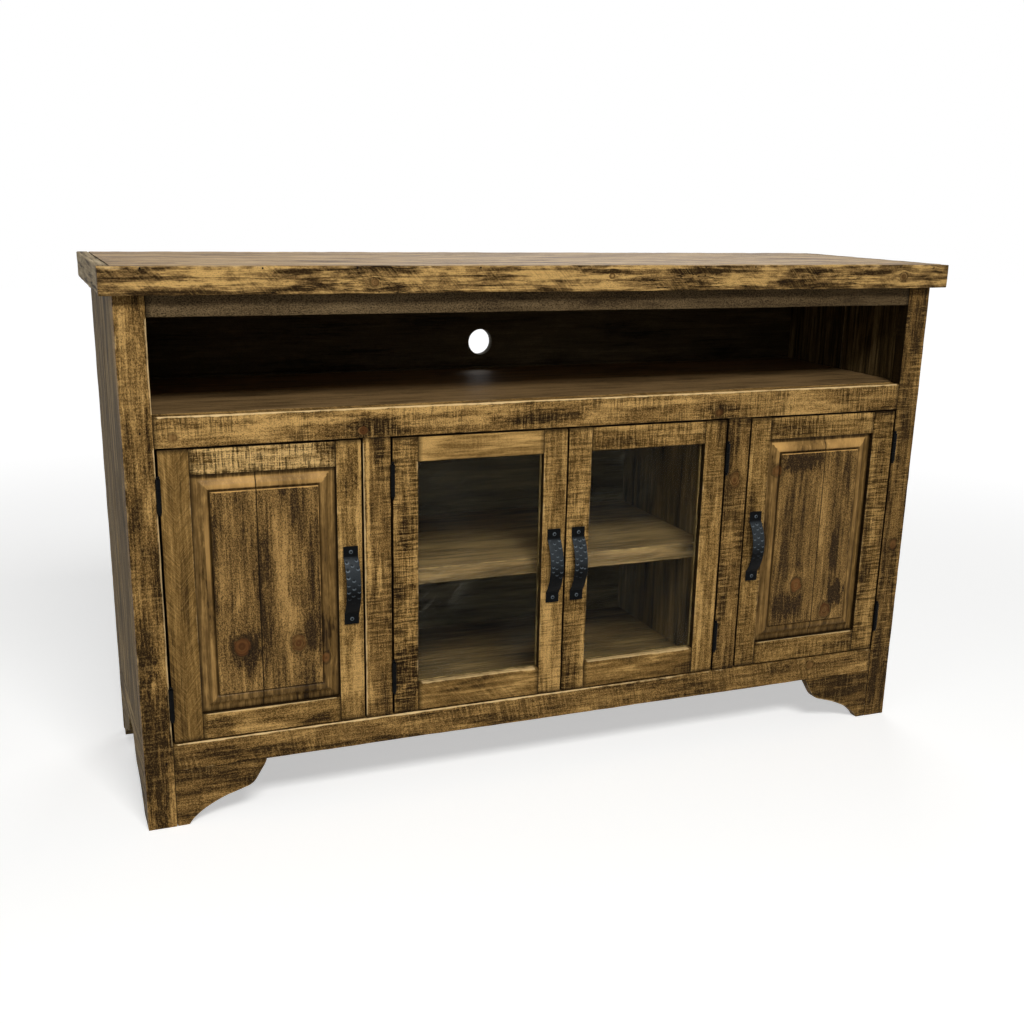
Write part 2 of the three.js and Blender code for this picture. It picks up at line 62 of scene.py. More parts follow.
def addCamera(spec):
    yaw, pitch, roll = spec["yaw"], spec["pitch"], spec["roll"]
    forward = Vector((
        math.sin(yaw) * math.cos(pitch),
        math.cos(yaw) * math.cos(pitch),
        math.sin(pitch),
    ))
    right = Vector((math.cos(yaw), -math.sin(yaw), 0))
    up = right.cross(forward)
    tiltedRight = right * math.cos(roll) + up * math.sin(roll)
    tiltedUp = up * math.cos(roll) - right * math.sin(roll)
    data = bpy.data.cameras.new("camera")
    data.lens = spec["lens"]
    data.shift_x, data.shift_y = spec["shift"]
    made = addObject("camera", data)
    turn = Matrix((tiltedRight, tiltedUp, -forward)).transposed().to_4x4()
    made.matrix_world = Matrix.Translation(spec["place"]) @ turn
    bpy.context.scene.camera = made


addCamera(camera)
bpy.context.scene.view_settings.view_transform = "Standard"


# Node helpers. Those that take no tree find it from a socket among their values
def setInputs(node, inputs):
    for key, value in inputs.items():
        if isinstance(value, bpy.types.NodeSocket):
            node.id_data.links.new(value, node.inputs[key])
        else:
            node.inputs[key].default_value = value


def addNode(tree, kind, inputs=None, **settings):
    made = tree.nodes.new(kind)
    for key, value in settings.items():
        setattr(made, key, value)
    setInputs(made, inputs or {})
    return made


def treeOf(values):
    return next(value.id_data for value in values if isinstance(value, bpy.types.NodeSocket))


def calc(operation, *values, clamp=False):
    made = addNode(treeOf(values), "ShaderNodeMath", dict(enumerate(values)), operation=operation,
                   use_clamp=clamp)
    return made.outputs[0]


def chain(operation, values):
    result = values[0]
    for value in values[1:]:
        result = calc(operation, result, value)
    return result


def add(*values):
    return chain("ADD", values)


def sub(*values):
    return chain("SUBTRACT", values)


def mul(*values):
    return chain("MULTIPLY", values)


def vectorCalc(operation, *values):
    made = addNode(treeOf(values), "ShaderNodeVectorMath", dict(enumerate(values)), operation=operation)
    return made.outputs[1 if operation == "LENGTH" else 0]


def separate(vector):
    return addNode(vector.id_data, "ShaderNodeSeparateXYZ", {0: vector}).outputs


def combine(*values):
    return addNode(treeOf(values), "ShaderNodeCombineXYZ", dict(enumerate(values))).outputs[0]


def remap(value, low, high, toLow=0.0, toHigh=1.0, **settings):
    inputs = {"Value": value, "From Min": low, "From Max": high, "To Min": toLow, "To Max": toHigh}
    return addNode(value.id_data, "ShaderNodeMapRange", inputs, **settings).outputs[0]


def smoothStep(value, low, high):
    return remap(value, low, high, interpolation_type="SMOOTHSTEP")


def noise(vector, stretch, detail, rough=0.55, distortion=0.0):
    scaled = vectorCalc("MULTIPLY", vector, stretch)
    inputs = {"Vector": scaled, "Scale": 1.0, "Detail": detail, "Roughness": rough,
              "Distortion": distortion}
    return addNode(vector.id_data, "ShaderNodeTexNoise", inputs).outputs[0]


def mixColour(factor, first, second):
    inputs = {0: factor, 6: first, 7: second}
    return addNode(factor.id_data, "ShaderNodeMix", inputs, data_type="RGBA").outputs[2]


def readLayer(tree, name):
    return addNode(tree, "ShaderNodeAttribute", attribute_name=name).outputs["Fac"]


def paint(red, green, blue):
    def toLinear(level):
        share = level / 255
        return share / 12.92 if share <= 0.04045 else ((share + 0.055) / 1.055) ** 2.4
    return (toLinear(red), toLinear(green), toLinear(blue), 1.0)


def newGroup(name, inputs, outputs, kind="ShaderNodeTree"):
    tree = bpy.data.node_groups.new(name, kind)
    for way, sockets in (("INPUT", inputs), ("OUTPUT", outputs)):
        for socketName, socketKind in sockets:
            tree.interface.new_socket(name=socketName, in_out=way, socket_type="NodeSocket" + socketKind)
    return tree, addNode(tree, "NodeGroupInput").outputs, addNode(tree, "NodeGroupOutput")


def newMaterial(name):
    material = bpy.data.materials.new(name)
    material.use_nodes = True
    tree = material.node_tree
    place = addNode(tree, "ShaderNodeTexCoord").outputs["Object"]
    return material, tree, tree.nodes["Principled BSDF"], place


# Grain that parts round a knot, as a stream does round a stone
def buildKnotGroup():
    tree, given, out = newGroup("knotFlow", [
        ("Vector", "Vector"), ("Place", "Vector"), ("Radius", "Float"), ("Tint", "Float"),
    ], [("Vector", "Vector"), ("Core", "Float"), ("Rim", "Float")])
    away = vectorCalc("SUBTRACT", given["Vector"], given["Place"])
    wobble = sub(noise(given["Vector"], (110, 110, 110), 2), 0.5)
    parts = separate(away)
    reach = vectorCalc("LENGTH", combine(mul(parts[0], 0.85), parts[1]))
    ratio = add(calc("DIVIDE", reach, given["Radius"]), mul(wobble, 0.7))
    drop = calc("DIVIDE", 0.8, calc("MAXIMUM", mul(ratio, ratio), 0.01))
    keep = calc("SUBTRACT", 1.0, drop, clamp=True)
    inside = smoothStep(ratio, 1.1, 0.85)
    across = add(mul(parts[1], keep, sub(1.0, inside)), mul(reach, 0.6, inside))
    along = mul(parts[0], remap(inside, 0, 1, 1, 0.2))
    moved = combine(along, across, parts[2])
    band = calc("ABSOLUTE", sub(ratio, 1.12))
    setInputs(out, {
        "Vector": vectorCalc("ADD", moved, given["Place"]),
        "Core": mul(inside, given["Tint"]),
        "Rim": mul(smoothStep(band, 0.38, 0.0), given["Tint"]),
    })
    return tree


# A ragged patch of glaze, or one rubbed through to lighter wood
def buildPatchGroup():
    tree, given, out = newGroup("raggedPatch", [
        ("Vector", "Vector"), ("Place", "Vector"), ("Size", "Vector"), ("Strength", "Float"),
    ], [("Value", "Float")])
    away = vectorCalc("SUBTRACT", given["Vector"], given["Place"])
    parts = separate(vectorCalc("DIVIDE", away, given["Size"]))
    ragged = sub(noise(given["Vector"], (45, 150, 150), 3, 0.65), 0.5)
    reach = add(vectorCalc("LENGTH", combine(parts[0], parts[1])), mul(ragged, 2.2))
    setInputs(out, {"Value": mul(smoothStep(reach, 1.2, 0.5), given["Strength"])})
    return tree


stainColours = ("Light", "Middle", "Dark", "Glaze", "Worn", "Heart")
stainAmounts = ("Figure", "Streak", "Mottle", "Speck", "Saw", "Crack", "Rub")

# Stains: the pine's colours from rubbed-back to glazed, and how much of each mark it shows, in
# the order of the two rows above
stains = {
    "frame": ((206, 164, 98), (122, 92, 49), (50, 35, 16), (16, 10, 4), (238, 204, 146), (104, 66, 34),
              0.8, 0.9, 1.17, 0.8, 0.7, 0.4, 0.6),
    "door": ((206, 164, 98), (124, 94, 49), (54, 38, 18), (18, 11, 4), (238, 204, 146), (104, 66, 34),
             0.8, 0.9, 1.04, 0.8, 0.7, 0.3, 0.6),
    # On the panel the Worn colour is mostly the moulding's painted highlight
    "panel": ((186, 146, 86), (116, 88, 47), (50, 35, 17), (20, 13, 5), (226, 176, 104), (110, 68, 34),
              0.65, 1.1, 0.8, 0.95, 0.15, 0.3, 0.9),
    "top": ((212, 178, 126), (166, 134, 87), (96, 72, 42), (60, 44, 27), (214, 184, 136), (116, 80, 46),
            0.9, 1.6, 0.3, 0.15, 0.0, 0.9, 0.2),
    "side": ((164, 138, 92), (102, 82, 48), (48, 37, 20), (30, 23, 14), (176, 160, 132), (84, 62, 40),
             0.7, 1.7, 0.4, 0.3, 0.0, 0.4, 0.3),
    # The frame's pine painted darker, as shade under the top's overhang
    "paintedShadePine": ((124, 104, 74), (90, 73, 49), (48, 37, 24), (20, 15, 9), (126, 106, 76), (70, 48, 28),
               0.5, 0.5, 0.9, 1.0, 0.1, 0.1, 0.15),
    "back": ((112, 98, 72), (80, 69, 49), (42, 36, 26), (16, 13, 9), (150, 130, 96), (70, 52, 34),
             0.7, 0.7, 0.5, 0.25, 0.0, 0.6, 0.3),
    "inside": ((134, 107, 70), (86, 67, 41), (40, 30, 18), (22, 15, 7), (214, 176, 118), (80, 50, 28),
               0.6, 0.8, 0.5, 0.3, 0.0, 0.3, 0.5),
}


# Rustic pine: stained, rubbed back on the ridges, with dark glaze left in the saw marks
def buildPineGroup():
    numbers = (*stainAmounts, "Lift", "Cover", "Skew", "Chevron", "Patch", "Sawn", "Wear", "Crevice",
               "Core", "Rim")
    tree, given, out = newGroup("stainedPine", [
        ("Vector", "Vector"), *[(name, "Color") for name in stainColours],
        *[(name, "Float") for name in numbers],
    ], [("Color", "Color"), ("Roughness", "Float"), ("Height", "Float")])
    vector = given["Vector"]
    parts = separate(vector)
    planed = sub(1.0, given["Sawn"])

    def centred(field):
        return sub(field, 0.5)

    figure = noise(vector, (5, 17, 17), 2, 0.5)
    column = noise(vector, (8, 44, 44), 2, 0.5, 0.3)
    streak = noise(vector, (7.5, 150, 150), 4, 0.6, 0.35)
    mottle = noise(vector, (44, 85, 85), 3, 0.65)
    pepper = noise(vector, (400, 600, 600), 2, 0.7)
    fibre = noise(vector, (30, 720, 720), 2, 0.6)
    slant = add(mul(calc("ABSOLUTE", parts[1]), given["Chevron"]), mul(parts[1], given["Skew"]))
    sawVector = combine(add(parts[0], slant), parts[1], parts[2])
    ticks = noise(sawVector, (250, 16, 16), 3, 0.75)
    crossLines = noise(sawVector, (560, 55, 55), 1)
    longLines = noise(vector, (44, 520, 520), 1)
    zone = smoothStep(add(noise(vector, (12, 24, 24), 2), given["Cover"]), 0.38, 0.58)

    # Tone of the stain itself
    tone = add(0.5, given["Lift"], given["Patch"], mul(planed, 0.1))
    wide = mul(given["Figure"], remap(given["Sawn"], 0, 1, 0.45, 1))
    for field, amount, weight in ((figure, wide, 1.1), (column, wide, 1.3),
                                  (streak, given["Streak"], 1.3), (mottle, given["Mottle"], 0.8),
                                  (fibre, given["Streak"], 0.5)):
        tone = add(tone, mul(centred(field), weight, amount))
    colour = mixColour(smoothStep(tone, 0.1, 0.52), given["Dark"], given["Middle"])
    colour = mixColour(smoothStep(tone, 0.48, 1.0), colour, given["Light"])

    # Rough-sawn ridges rubbed light, and glaze in the pores and saw marks
    rough = mul(given["Sawn"], given["Speck"])
    weave = mul(add(mul(centred(crossLines), 0.36), mul(centred(longLines), 0.13)),
                calc("MINIMUM", given["Saw"], 1.0))
    grit = add(pepper, weave, mul(centred(mottle), 0.22), mul(sub(0.5, tone), 0.05))
    ridges = mul(smoothStep(grit, 0.49, 0.36), rough,
                 remap(smoothStep(tone, 0.1, 0.6), 0, 1, 0.35, 1))
    colour = mixColour(mul(ridges, 0.6), colour, given["Light"])
    pores = mul(smoothStep(grit, 0.5, 0.63), rough)
    saw = mul(given["Saw"], given["Sawn"], zone)
    worked = add(ticks, mul(centred(longLines), 0.3))
    crest = mul(smoothStep(worked, 0.49, 0.37), saw)
    colour = mixColour(mul(crest, 0.6), colour, given["Light"])
    groove = mul(smoothStep(worked, 0.5, 0.59), saw)
    split = noise(vector, (8, 95, 95), 3, 0.6, 0.5)
    line = smoothStep(calc("ABSOLUTE", centred(split)), 0.014, 0.002)
    cracks = mul(line, smoothStep(figure, 0.52, 0.42), given["Crack"])
    glazed = calc("MAXIMUM", calc("MAXIMUM", groove, mul(pores, 0.85)), cracks, clamp=True)
    colour = mixColour(mul(glazed, 0.9), colour, given["Glaze"])

    # Edges rubbed through here and there; the same light colour also paints the highlights that edges and the
    # panel's moulding catch
    broken = add(mul(centred(mottle), 1.3, given["Sawn"]), mul(centred(figure), 0.9, planed))
    worn = smoothStep(add(given["Wear"], broken), 0.5, 1.05)
    colour = mixColour(mul(worn, given["Rub"]), colour, given["Worn"])
    # Glaze in crevices and at joints, which also paints shade in the gaps round the doors and along the
    # panel's moulding
    colour = mixColour(mul(given["Crevice"], 0.95), colour, given["Glaze"])

    # Knots
    ringed = smoothStep(noise(vector, (40, 620, 40), 1), 0.4, 0.6)
    heart = mixColour(mul(ringed, 0.5), given["Heart"], given["Glaze"])
    colour = mixColour(mul(given["Core"], 0.8), colour, heart)
    colour = mixColour(mul(given["Rim"], 0.6), colour, given["Glaze"])

    polish = remap(given["Sawn"], 0, 1, -0.14, 0)
    height = sub(add(mul(fibre, 0.3), mul(streak, 0.25)), mul(calc("MAXIMUM", pores, groove), 0.45),
                 mul(cracks, 0.9), mul(given["Rim"], 0.3))
    setInputs(out, {
        "Color": colour,
        "Roughness": add(remap(glazed, 0, 1, 0.5, 0.68), polish),
        "Height": height,
    })
    return tree


knotGroup = buildKnotGroup()
patchGroup = buildPatchGroup()
pineGroup = buildPineGroup()

axisOrder = {"X": (0, 1, 2), "Y": (1, 2, 0), "Z": (2, 0, 1)}  # grain first, then the other two


# Knots are (along, across, radius, tint) and patches (along, across, half length, half width, strength).
# changes take the place of the stain's own colours and amounts
def pineMaterial(name, stain, grain, middle, seed, knots=(), patches=(), shine=0.04,
                 acrossIsLast=False, **changes):
    material, tree, surface, place = newMaterial(name)
    mapped = addNode(tree, "ShaderNodeMapping", {"Vector": place, "Location": tuple(-middle)})
    parts = separate(mapped.outputs[0])
    order = axisOrder[grain]
    if acrossIsLast:
        order = (order[0], order[2], order[1])
    board = combine(*[parts[axis] for axis in order])
    vector = board
    marks = {}

    def gather(socket, value, operation):
        marks[socket] = calc(operation, marks[socket], value) if socket in marks else value

    for along, across, radius, tint in knots:
        inputs = {"Vector": vector, "Place": (along, across, 0), "Radius": radius, "Tint": tint}
        knot = addNode(tree, "ShaderNodeGroup", inputs, node_tree=knotGroup).outputs
        vector = knot["Vector"]
        gather("Core", knot["Core"], "MAXIMUM")
        gather("Rim", knot["Rim"], "MAXIMUM")
    for along, across, halfLength, halfWidth, strength in patches:
        inputs = {"Vector": board, "Place": (along, across, 0), "Size": (halfLength, halfWidth, 1),
                  "Strength": strength}
        patch = addNode(tree, "ShaderNodeGroup", inputs, node_tree=patchGroup).outputs
        gather("Patch", patch["Value"], "ADD")
    jump = np.random.default_rng(seed).uniform(-40, 40, 2)
    looks = {**dict(zip(stainColours + stainAmounts, stains[stain])), **changes}
    looks = {key: paint(*value) if key in stainColours else value for key, value in looks.items()}
    inputs = {"Vector": vectorCalc("ADD", vector, (float(jump[0]), 0, float(jump[1]))), **looks, **marks,
              "Wear": readLayer(tree, "wear"), "Crevice": readLayer(tree, "crevice"),
              "Sawn": sub(1.0, readLayer(tree, "smoothed"))}
    pine = addNode(tree, "ShaderNodeGroup", inputs, node_tree=pineGroup).outputs
    relief = addNode(tree, "ShaderNodeBump", {"Height": pine["Height"], "Distance": 0.0003, "Strength": 0.9})
    setInputs(surface, {"Base Color": pine["Color"], "Roughness": pine["Roughness"],
                        "Normal": relief.outputs[0], "Specular IOR Level": shine})
    return material


iron = {
    # The light blue-grey is the colour of the painted sheen and highlights on the straps and screw heads
    "dark": (2, 3, 3), "grey": (8, 9, 10), "bare": (74, 78, 82), "handled": (158, 170, 178),
    "specular": 0.06, "roughness": (0.26, 0.42), "bump": 0.00012,
}


def ironMaterial(spec):
    material, tree, surface, place = newMaterial("blackIron")
    scale = noise(place, (520, 520, 520), 3, 0.65)
    cloud = noise(place, (70, 70, 70), 3, 0.6)
    level = add(mul(scale, 0.5), mul(cloud, 0.5))
    colour = mixColour(smoothStep(level, 0.38, 0.62), paint(*spec["dark"]), paint(*spec["grey"]))
    # Painted sheen and highlights, mixed in where the layer gives them
    handled = mul(readLayer(tree, "handled"), remap(level, 0.3, 0.7, 0.7, 1.0))
    colour = mixColour(handled, colour, paint(*spec["handled"]))
    bare = smoothStep(add(readLayer(tree, "wear"), mul(cloud, 0.8)), 0.9, 1.5)
    colour = mixColour(bare, colour, paint(*spec["bare"]))
    relief = addNode(tree, "ShaderNodeBump", {"Height": scale, "Distance": spec["bump"], "Strength": 0.6})
    setInputs(surface, {"Base Color": colour, "Roughness": remap(level, 0.35, 0.65, *spec["roughness"]),
                        "Normal": relief.outputs[0], "Specular IOR Level": spec["specular"]})
    return material


glass = {
    "tint": (240, 244, 240), "shadow": (232, 236, 232), "index": 1.1,
    "film": (214, 208, 190), "filmShare": 0.03, "wipedAt": math.radians(42), "smear": 0.035,
}


# Clear to rays that cast shadows, and faintly filmed where it was wiped
def glassMaterial(spec):
    material, tree, surface, place = newMaterial("paneGlass")
    smear = noise(place, (9, 9, 26), 3)
    setInputs(surface, {"Base Color": paint(*spec["tint"]), "Transmission Weight": 1.0,
                        "IOR": spec["index"], "Roughness": remap(smear, 0.3, 0.75, 0.0, spec["smear"])})
    wiped = addNode(tree, "ShaderNodeMapping", {"Vector": place, "Rotation": (0, spec["wipedAt"], 0)})
    strokes = smoothStep(noise(wiped.outputs[0], (16, 16, 420), 2), 0.52, 0.7)
    low = smoothStep(noise(place, (7, 7, 7), 1), 0.45, 0.6)
    film = addNode(tree, "ShaderNodeBsdfDiffuse", {"Color": paint(*spec["film"])})
    clear = addNode(tree, "ShaderNodeBsdfTransparent", {"Color": paint(*spec["shadow"])})
    shadow = addNode(tree, "ShaderNodeLightPath").outputs["Is Shadow Ray"]
    shader = surface
    for share, other in ((mul(strokes, low, spec["filmShare"]), film), (shadow, clear)):
        inputs = {0: share, 1: shader.outputs[0], 2: other.outputs[0]}
        shader = addNode(tree, "ShaderNodeMixShader", inputs)
    setInputs(tree.nodes["Material Output"], {"Surface": shader.outputs[0]})
    return material


blackIron = ironMaterial(iron)
paneGlass = glassMaterial(glass)

print("stage: boards")


# Smooth faces, but for edges sharper than so many degrees
def smoothFaces(mesh, degrees=38):
    mesh.polygons.foreach_set("use_smooth", [True] * len(mesh.polygons))
    mesh.set_sharp_from_angle(angle=math.radians(degrees))


# A mesh from arrays, linked to the scene
def makeObject(name, points, faces, material, layers=None):
    mesh = bpy.data.meshes.new(name)
    mesh.from_pydata(np.asarray(points, float).reshape(-1, 3).tolist(), [], faces)
    for layer, values in (layers or {}).items():
        attribute = mesh.attributes.new(layer, "FLOAT", "POINT")
        attribute.data.foreach_set("value", np.asarray(values, np.float32).ravel())
    smoothFaces(mesh)
    mesh.materials.append(material)
    return addObject(name, mesh)


# Slow random waves between 0 and 1 over two lengths
def ripple(along, across, seed, longest, widest, count=9):
    rng = np.random.default_rng(seed)
    total = np.zeros(np.broadcast(along, across).shape)
    for step in range(count):
        alongRate = rng.uniform(0.4, 1) * (step + 1) / longest
        acrossRate = rng.uniform(-1, 1) * (step + 1) / widest
        angle = 2 * math.pi * (along * alongRate + across * acrossRate + rng.uniform())
        total = total + np.sin(angle) / (step + 1) ** 0.6
    return np.clip(0.5 + total / (0.9 * count ** 0.55), 0, 1)


wearDefaults = {
    "ease": 0.0011,      # rounding of a plain edge
    "rub": 0.0012,       # most that wear adds to it
    "hollow": 0.00035,   # depth of the face's unevenness
    "inset": 0.00015,    # from the CAD face to the ridges of the wood
    "step": 0.007,
    "arcSteps": 3,
    "joint": (0, 0),     # glaze on the low and high sides, partly painted shade where they face a gap, or below nought how far they are rubbed
    "ends": 0.5,         # how far the ends are rubbed, or below nought glazed
    "rubWave": 0.35,     # length over which an edge's wear comes and goes
    "hollowWaves": (0.22, 0.09),
    "margin": 0.0035,    # from a corner to the first point beside it
    "plainFrom": 0.004,  # shorter edges of a section get no points of their own
    "roundest": 0.35,    # most of an edge that a corner's rounding takes, as a share
}


# Faces between rows of points that close on themselves, and over both ends
def tubeFaces(rows, count, start=0):
    faces = []
    for a in range(start, start + (rows - 1) * count, count):
        for i in range(count):
            n = (i + 1) % count
            faces.append((a + i, a + n, a + count + n, a + count + i))
    faces.append(tuple(start + i for i in reversed(range(count))))
    faces.append(tuple(start + (rows - 1) * count + i for i in range(count)))
    return faces


# A board swept along its grain. cornersAt gives the section's corners at a station, anticlockwise,
# each as (a, b, how far it is rubbed, or 0 where it is sharp); breaks are stations where the
# section changes at once
def sweepBoard(name, grain, low, high, cornersAt, material, seed, breaks=(), **changes):
    wear = {**wearDefaults, **changes}
    ease, steps = wear["ease"], wear["arcSteps"]
    angles = [math.pi / 2 * (1 - k / steps) for k in range(steps + 1)]
    startEnds = [(low + ease * (1 - math.sin(t)), ease * (1 - math.cos(t))) for t in angles]
    finishEnds = [(high - ease * (1 - math.sin(t)), ease * (1 - math.cos(t))) for t in reversed(angles)]
    count = max(2, int((high - low - 2 * ease) / wear["step"]))
    inner = list(np.linspace(low + ease, high - ease, count + 1)[1:-1])
    tiny = 1e-5
    inner = [s for s in inner if all(abs(s - at) > 2 * tiny for at in breaks)]
    inner = sorted(inner + [at - tiny for at in breaks] + [at + tiny for at in breaks])
    stations = [*startEnds, *[(s, 0.0) for s in inner], *finishEnds]
    plan = edgePlan(cornersAt((low + high) / 2), wear)
    rows, rubbed, normals = [], [], None
    for s, inset in stations:
        corners = cornersAt(s)
        row, normals, tips = sectionRow(corners, plan, s, wear, seed)
        rows.append(row - normals * inset)
        rubbed.append(tips)
    section = np.array(rows)
    places = np.array([s for s, _ in stations])
    count = section.shape[1]
    points = np.zeros((len(stations), count, 3))
    order = axisOrder[grain]
    points[:, :, order[0]] = places[:, None]
    points[:, :, order[1]] = section[:, :, 0]
    points[:, :, order[2]] = section[:, :, 1]
    rubbed = np.array(rubbed)
    sideways = normals[:, 0 if order[1] != 1 else 1]
    lowJoint, highJoint = wear["joint"]
    glazed = np.clip((np.abs(sideways) - 0.5) / 0.45, 0, 1) * np.where(sideways < 0, lowJoint, highJoint)
    glazed = np.tile(glazed, (len(stations), 1))
    for ends in (slice(0, steps + 1), slice(-steps - 1, None)):
        rubbed[ends] = max(wear["ends"], 0)
        glazed[ends] = np.maximum(glazed[ends], -wear["ends"])
    layers = {"wear": np.maximum(rubbed, -glazed), "crevice": np.maximum(glazed, 0)}
    return makeObject(name, points, tubeFaces(len(stations), count), material, layers)


# How many points each edge of a section gets between its corners
def edgePlan(corners, wear):
    plan = []
    for i, (a, b, _) in enumerate(corners):
        nextA, nextB, _ = corners[(i + 1) % len(corners)]
        length = math.hypot(nextA - a, nextB - b)
        plan.append(0 if length < wear["plainFrom"] else max(2, int(length / wear["step"])))
    return plan


def sectionRow(corners, plan, s, wear, seed):
    total = len(corners)
    radii = []
    for i, (a, b, eased) in enumerate(corners):
        reach = min(math.dist((a, b), corners[i - 1][:2]), math.dist((a, b), corners[(i + 1) % total][:2]))
        rub = wear["rub"] * ripple(np.array(s), np.array(0.0), seed * 31 + i, wear["rubWave"], 1) ** 2
        radii.append(min(wear["ease"] + float(rub), wear["roundest"] * reach) if eased else 0.0)
    points, normals, tips = [], [], []
    for i, (a, b, eased) in enumerate(corners):
        here = np.array((a, b))
        before = np.array(corners[i - 1][:2])
        after = np.array(corners[(i + 1) % total][:2])
        inward = (here - before) / max(np.linalg.norm(here - before), 1e-9)
        onward = (after - here) / max(np.linalg.norm(after - here), 1e-9)
        radius = radii[i]
        if eased:
            centre = here - inward * radius + onward * radius
            for k in range(wear["arcSteps"] + 1):
                angle = math.pi / 2 * k / wear["arcSteps"]
                normal = inward * math.sin(angle) - onward * math.cos(angle)
                points.append(centre + normal * radius)
                normals.append(normal)
                tips.append(float(eased))
        else:
            points.append(here)
            normal = np.array((inward[1] + onward[1], -inward[0] - onward[0]))
            normals.append(normal / max(np.linalg.norm(normal), 1e-9))
            tips.append(0.0)
        if plan[i]:
            start = here + onward * radius
            end = after - onward * radii[(i + 1) % total]
            length = np.linalg.norm(end - start)
            margin = min(wear["margin"], 0.2 * length)
            for k in range(plan[i]):
                along = margin + (length - 2 * margin) * k / (plan[i] - 1)
                points.append(start + onward * along)
                normals.append(np.array((onward[1], -onward[0])))
                tips.append(0.0)
    points, normals = np.array(points), np.array(normals)
    around = points[:, 0] + 0.7 * points[:, 1]
    depth = wear["inset"] + wear["hollow"] * ripple(np.array(s), around, seed, *wear["hollowWaves"])
    return points - normals * depth[:, None], normals, np.array(tips)


def rectangle(aLow, aHigh, bLow, bHigh, rubs=(0.7, 0.7, 0.7, 0.7)):
    places = ((aLow, bLow), (aHigh, bLow), (aHigh, bHigh), (aLow, bHigh))
    return [(*place, rub) for place, rub in zip(places, rubs)]


# Finishes a wooden piece: it rides on a body and stands for its CAD nodes
def dress(piece, body, slot, *nodes):
    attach(piece, body)
    if nodes:
        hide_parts(*nodes)


# A plain board that fills a box, with its own cut of the pine. rubs gives its four corners' wear
# at a station
def makeBoard(name, grain, box, stain, seed, body, slot, nodes=(), wear=None, rubs=None, **finish):
    low, high = box
    order = axisOrder[grain]
    material = pineMaterial(name + "Pine", stain, grain, (low + high) / 2, seed, **finish)
    edges = (low[order[1]], high[order[1]], low[order[2]], high[order[2]])

    def corners(s):
        return rectangle(*edges, rubs(s)) if rubs else rectangle(*edges)

    board = sweepBoard(name, grain, low[order[0]], high[order[0]], corners, material, seed, **(wear or {}))
    dress(board, body, slot, *nodes)


def boxOf(node):
    low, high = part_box(node)
    return low.copy(), high.copy()


top = {
    "seams": (-0.105, 0.006, 0.121),   # plank joints, front to back
    "seamWidth": 0.0012, "seamDepth": 0.001,
    "frontWear": {"ease": 0.0014, "rub": 0.003, "hollow": 0.0007, "step": 0.005, "ends": 0.3},
    "frontRubs": (0.05, 0.3, 0.3, 0.55),   # lower front, lower back, upper back, upper front
    "endWear": {"ease": 0.0014, "rub": 0.0016, "hollow": 0.0005},
    "frontFinish": {
        "Light": (206, 166, 100), "Middle": (122, 94, 55), "Saw": 0.4, "Skew": 0.9, "Speck": 0.5,
        "Figure": 1.0, "Streak": 1.9, "Mottle": 2.0, "Lift": 0.1, "Crack": 1.5, "acrossIsLast": True,
        "knots": [(-0.35, -0.004, 0.006, 0.4), (0.06, 0.004, 0.005, 0.3), (0.66, 0.0, 0.007, 0.4)],
        "patches": [
            (-0.735, 0.008, 0.05, 0.012, -0.4), (-0.68, -0.006, 0.09, 0.006, 0.3),
            (-0.66, -0.016, 0.09, 0.008, -0.45), (-0.47, 0.013, 0.05, 0.005, -0.5),
            (-0.46, -0.01, 0.03, 0.008, -0.45), (-0.35, -0.004, 0.05, 0.009, 0.35),
            (0.044, 0.012, 0.04, 0.004, -0.5), (0.24, 0.012, 0.06, 0.005, -0.55),
            (0.46, 0.012, 0.05, 0.006, -0.5), (0.41, -0.01, 0.05, 0.006, -0.4),
            (0.7, -0.006, 0.05, 0.008, -0.3),
        ],
    },
    "endFinish": {"shine": 0.01, "Light": (206, 186, 148), "Middle": (160, 140, 106)},
}


def makeTop(spec):
    makeBoard("top_front_strip", "X", boxOf("top_edge_front"), "frame", 11, "root", "frame_pine",
              ["top_edge_front"], spec["frontWear"], lambda s: spec["frontRubs"], **spec["frontFinish"])
    for name, node, seed in (("top_left_strip", "top_edge_left", 12),
                             ("top_right_strip", "top_edge_right", 13)):
        makeBoard(name, "Y", boxOf(node), "side", seed, "root", "side_pine", [node], spec["endWear"],
                  **spec["endFinish"])
    low, high = boxOf("top_panel")
    material = pineMaterial("topPine", "top", "X", (low + high) / 2, 14, shine=0.1)
    half, depth = spec["seamWidth"] / 2, spec["seamDepth"]
    outline = [(low.y, low.z, 1), (high.y, low.z, 1), (high.y, high.z, 1)]
    for y in sorted(spec["seams"], reverse=True):
        outline += [(y + half, high.z, 0), (y, high.z - depth, 0), (y - half, high.z, 0)]
    outline.append((low.y, high.z, 1))
    board = sweepBoard("top_planks", "X", low.x, high.x, lambda s: outline, material, 14, hollow=0.0005)
    dress(board, "root", "top_pine", "top_panel")


makeTop(top)

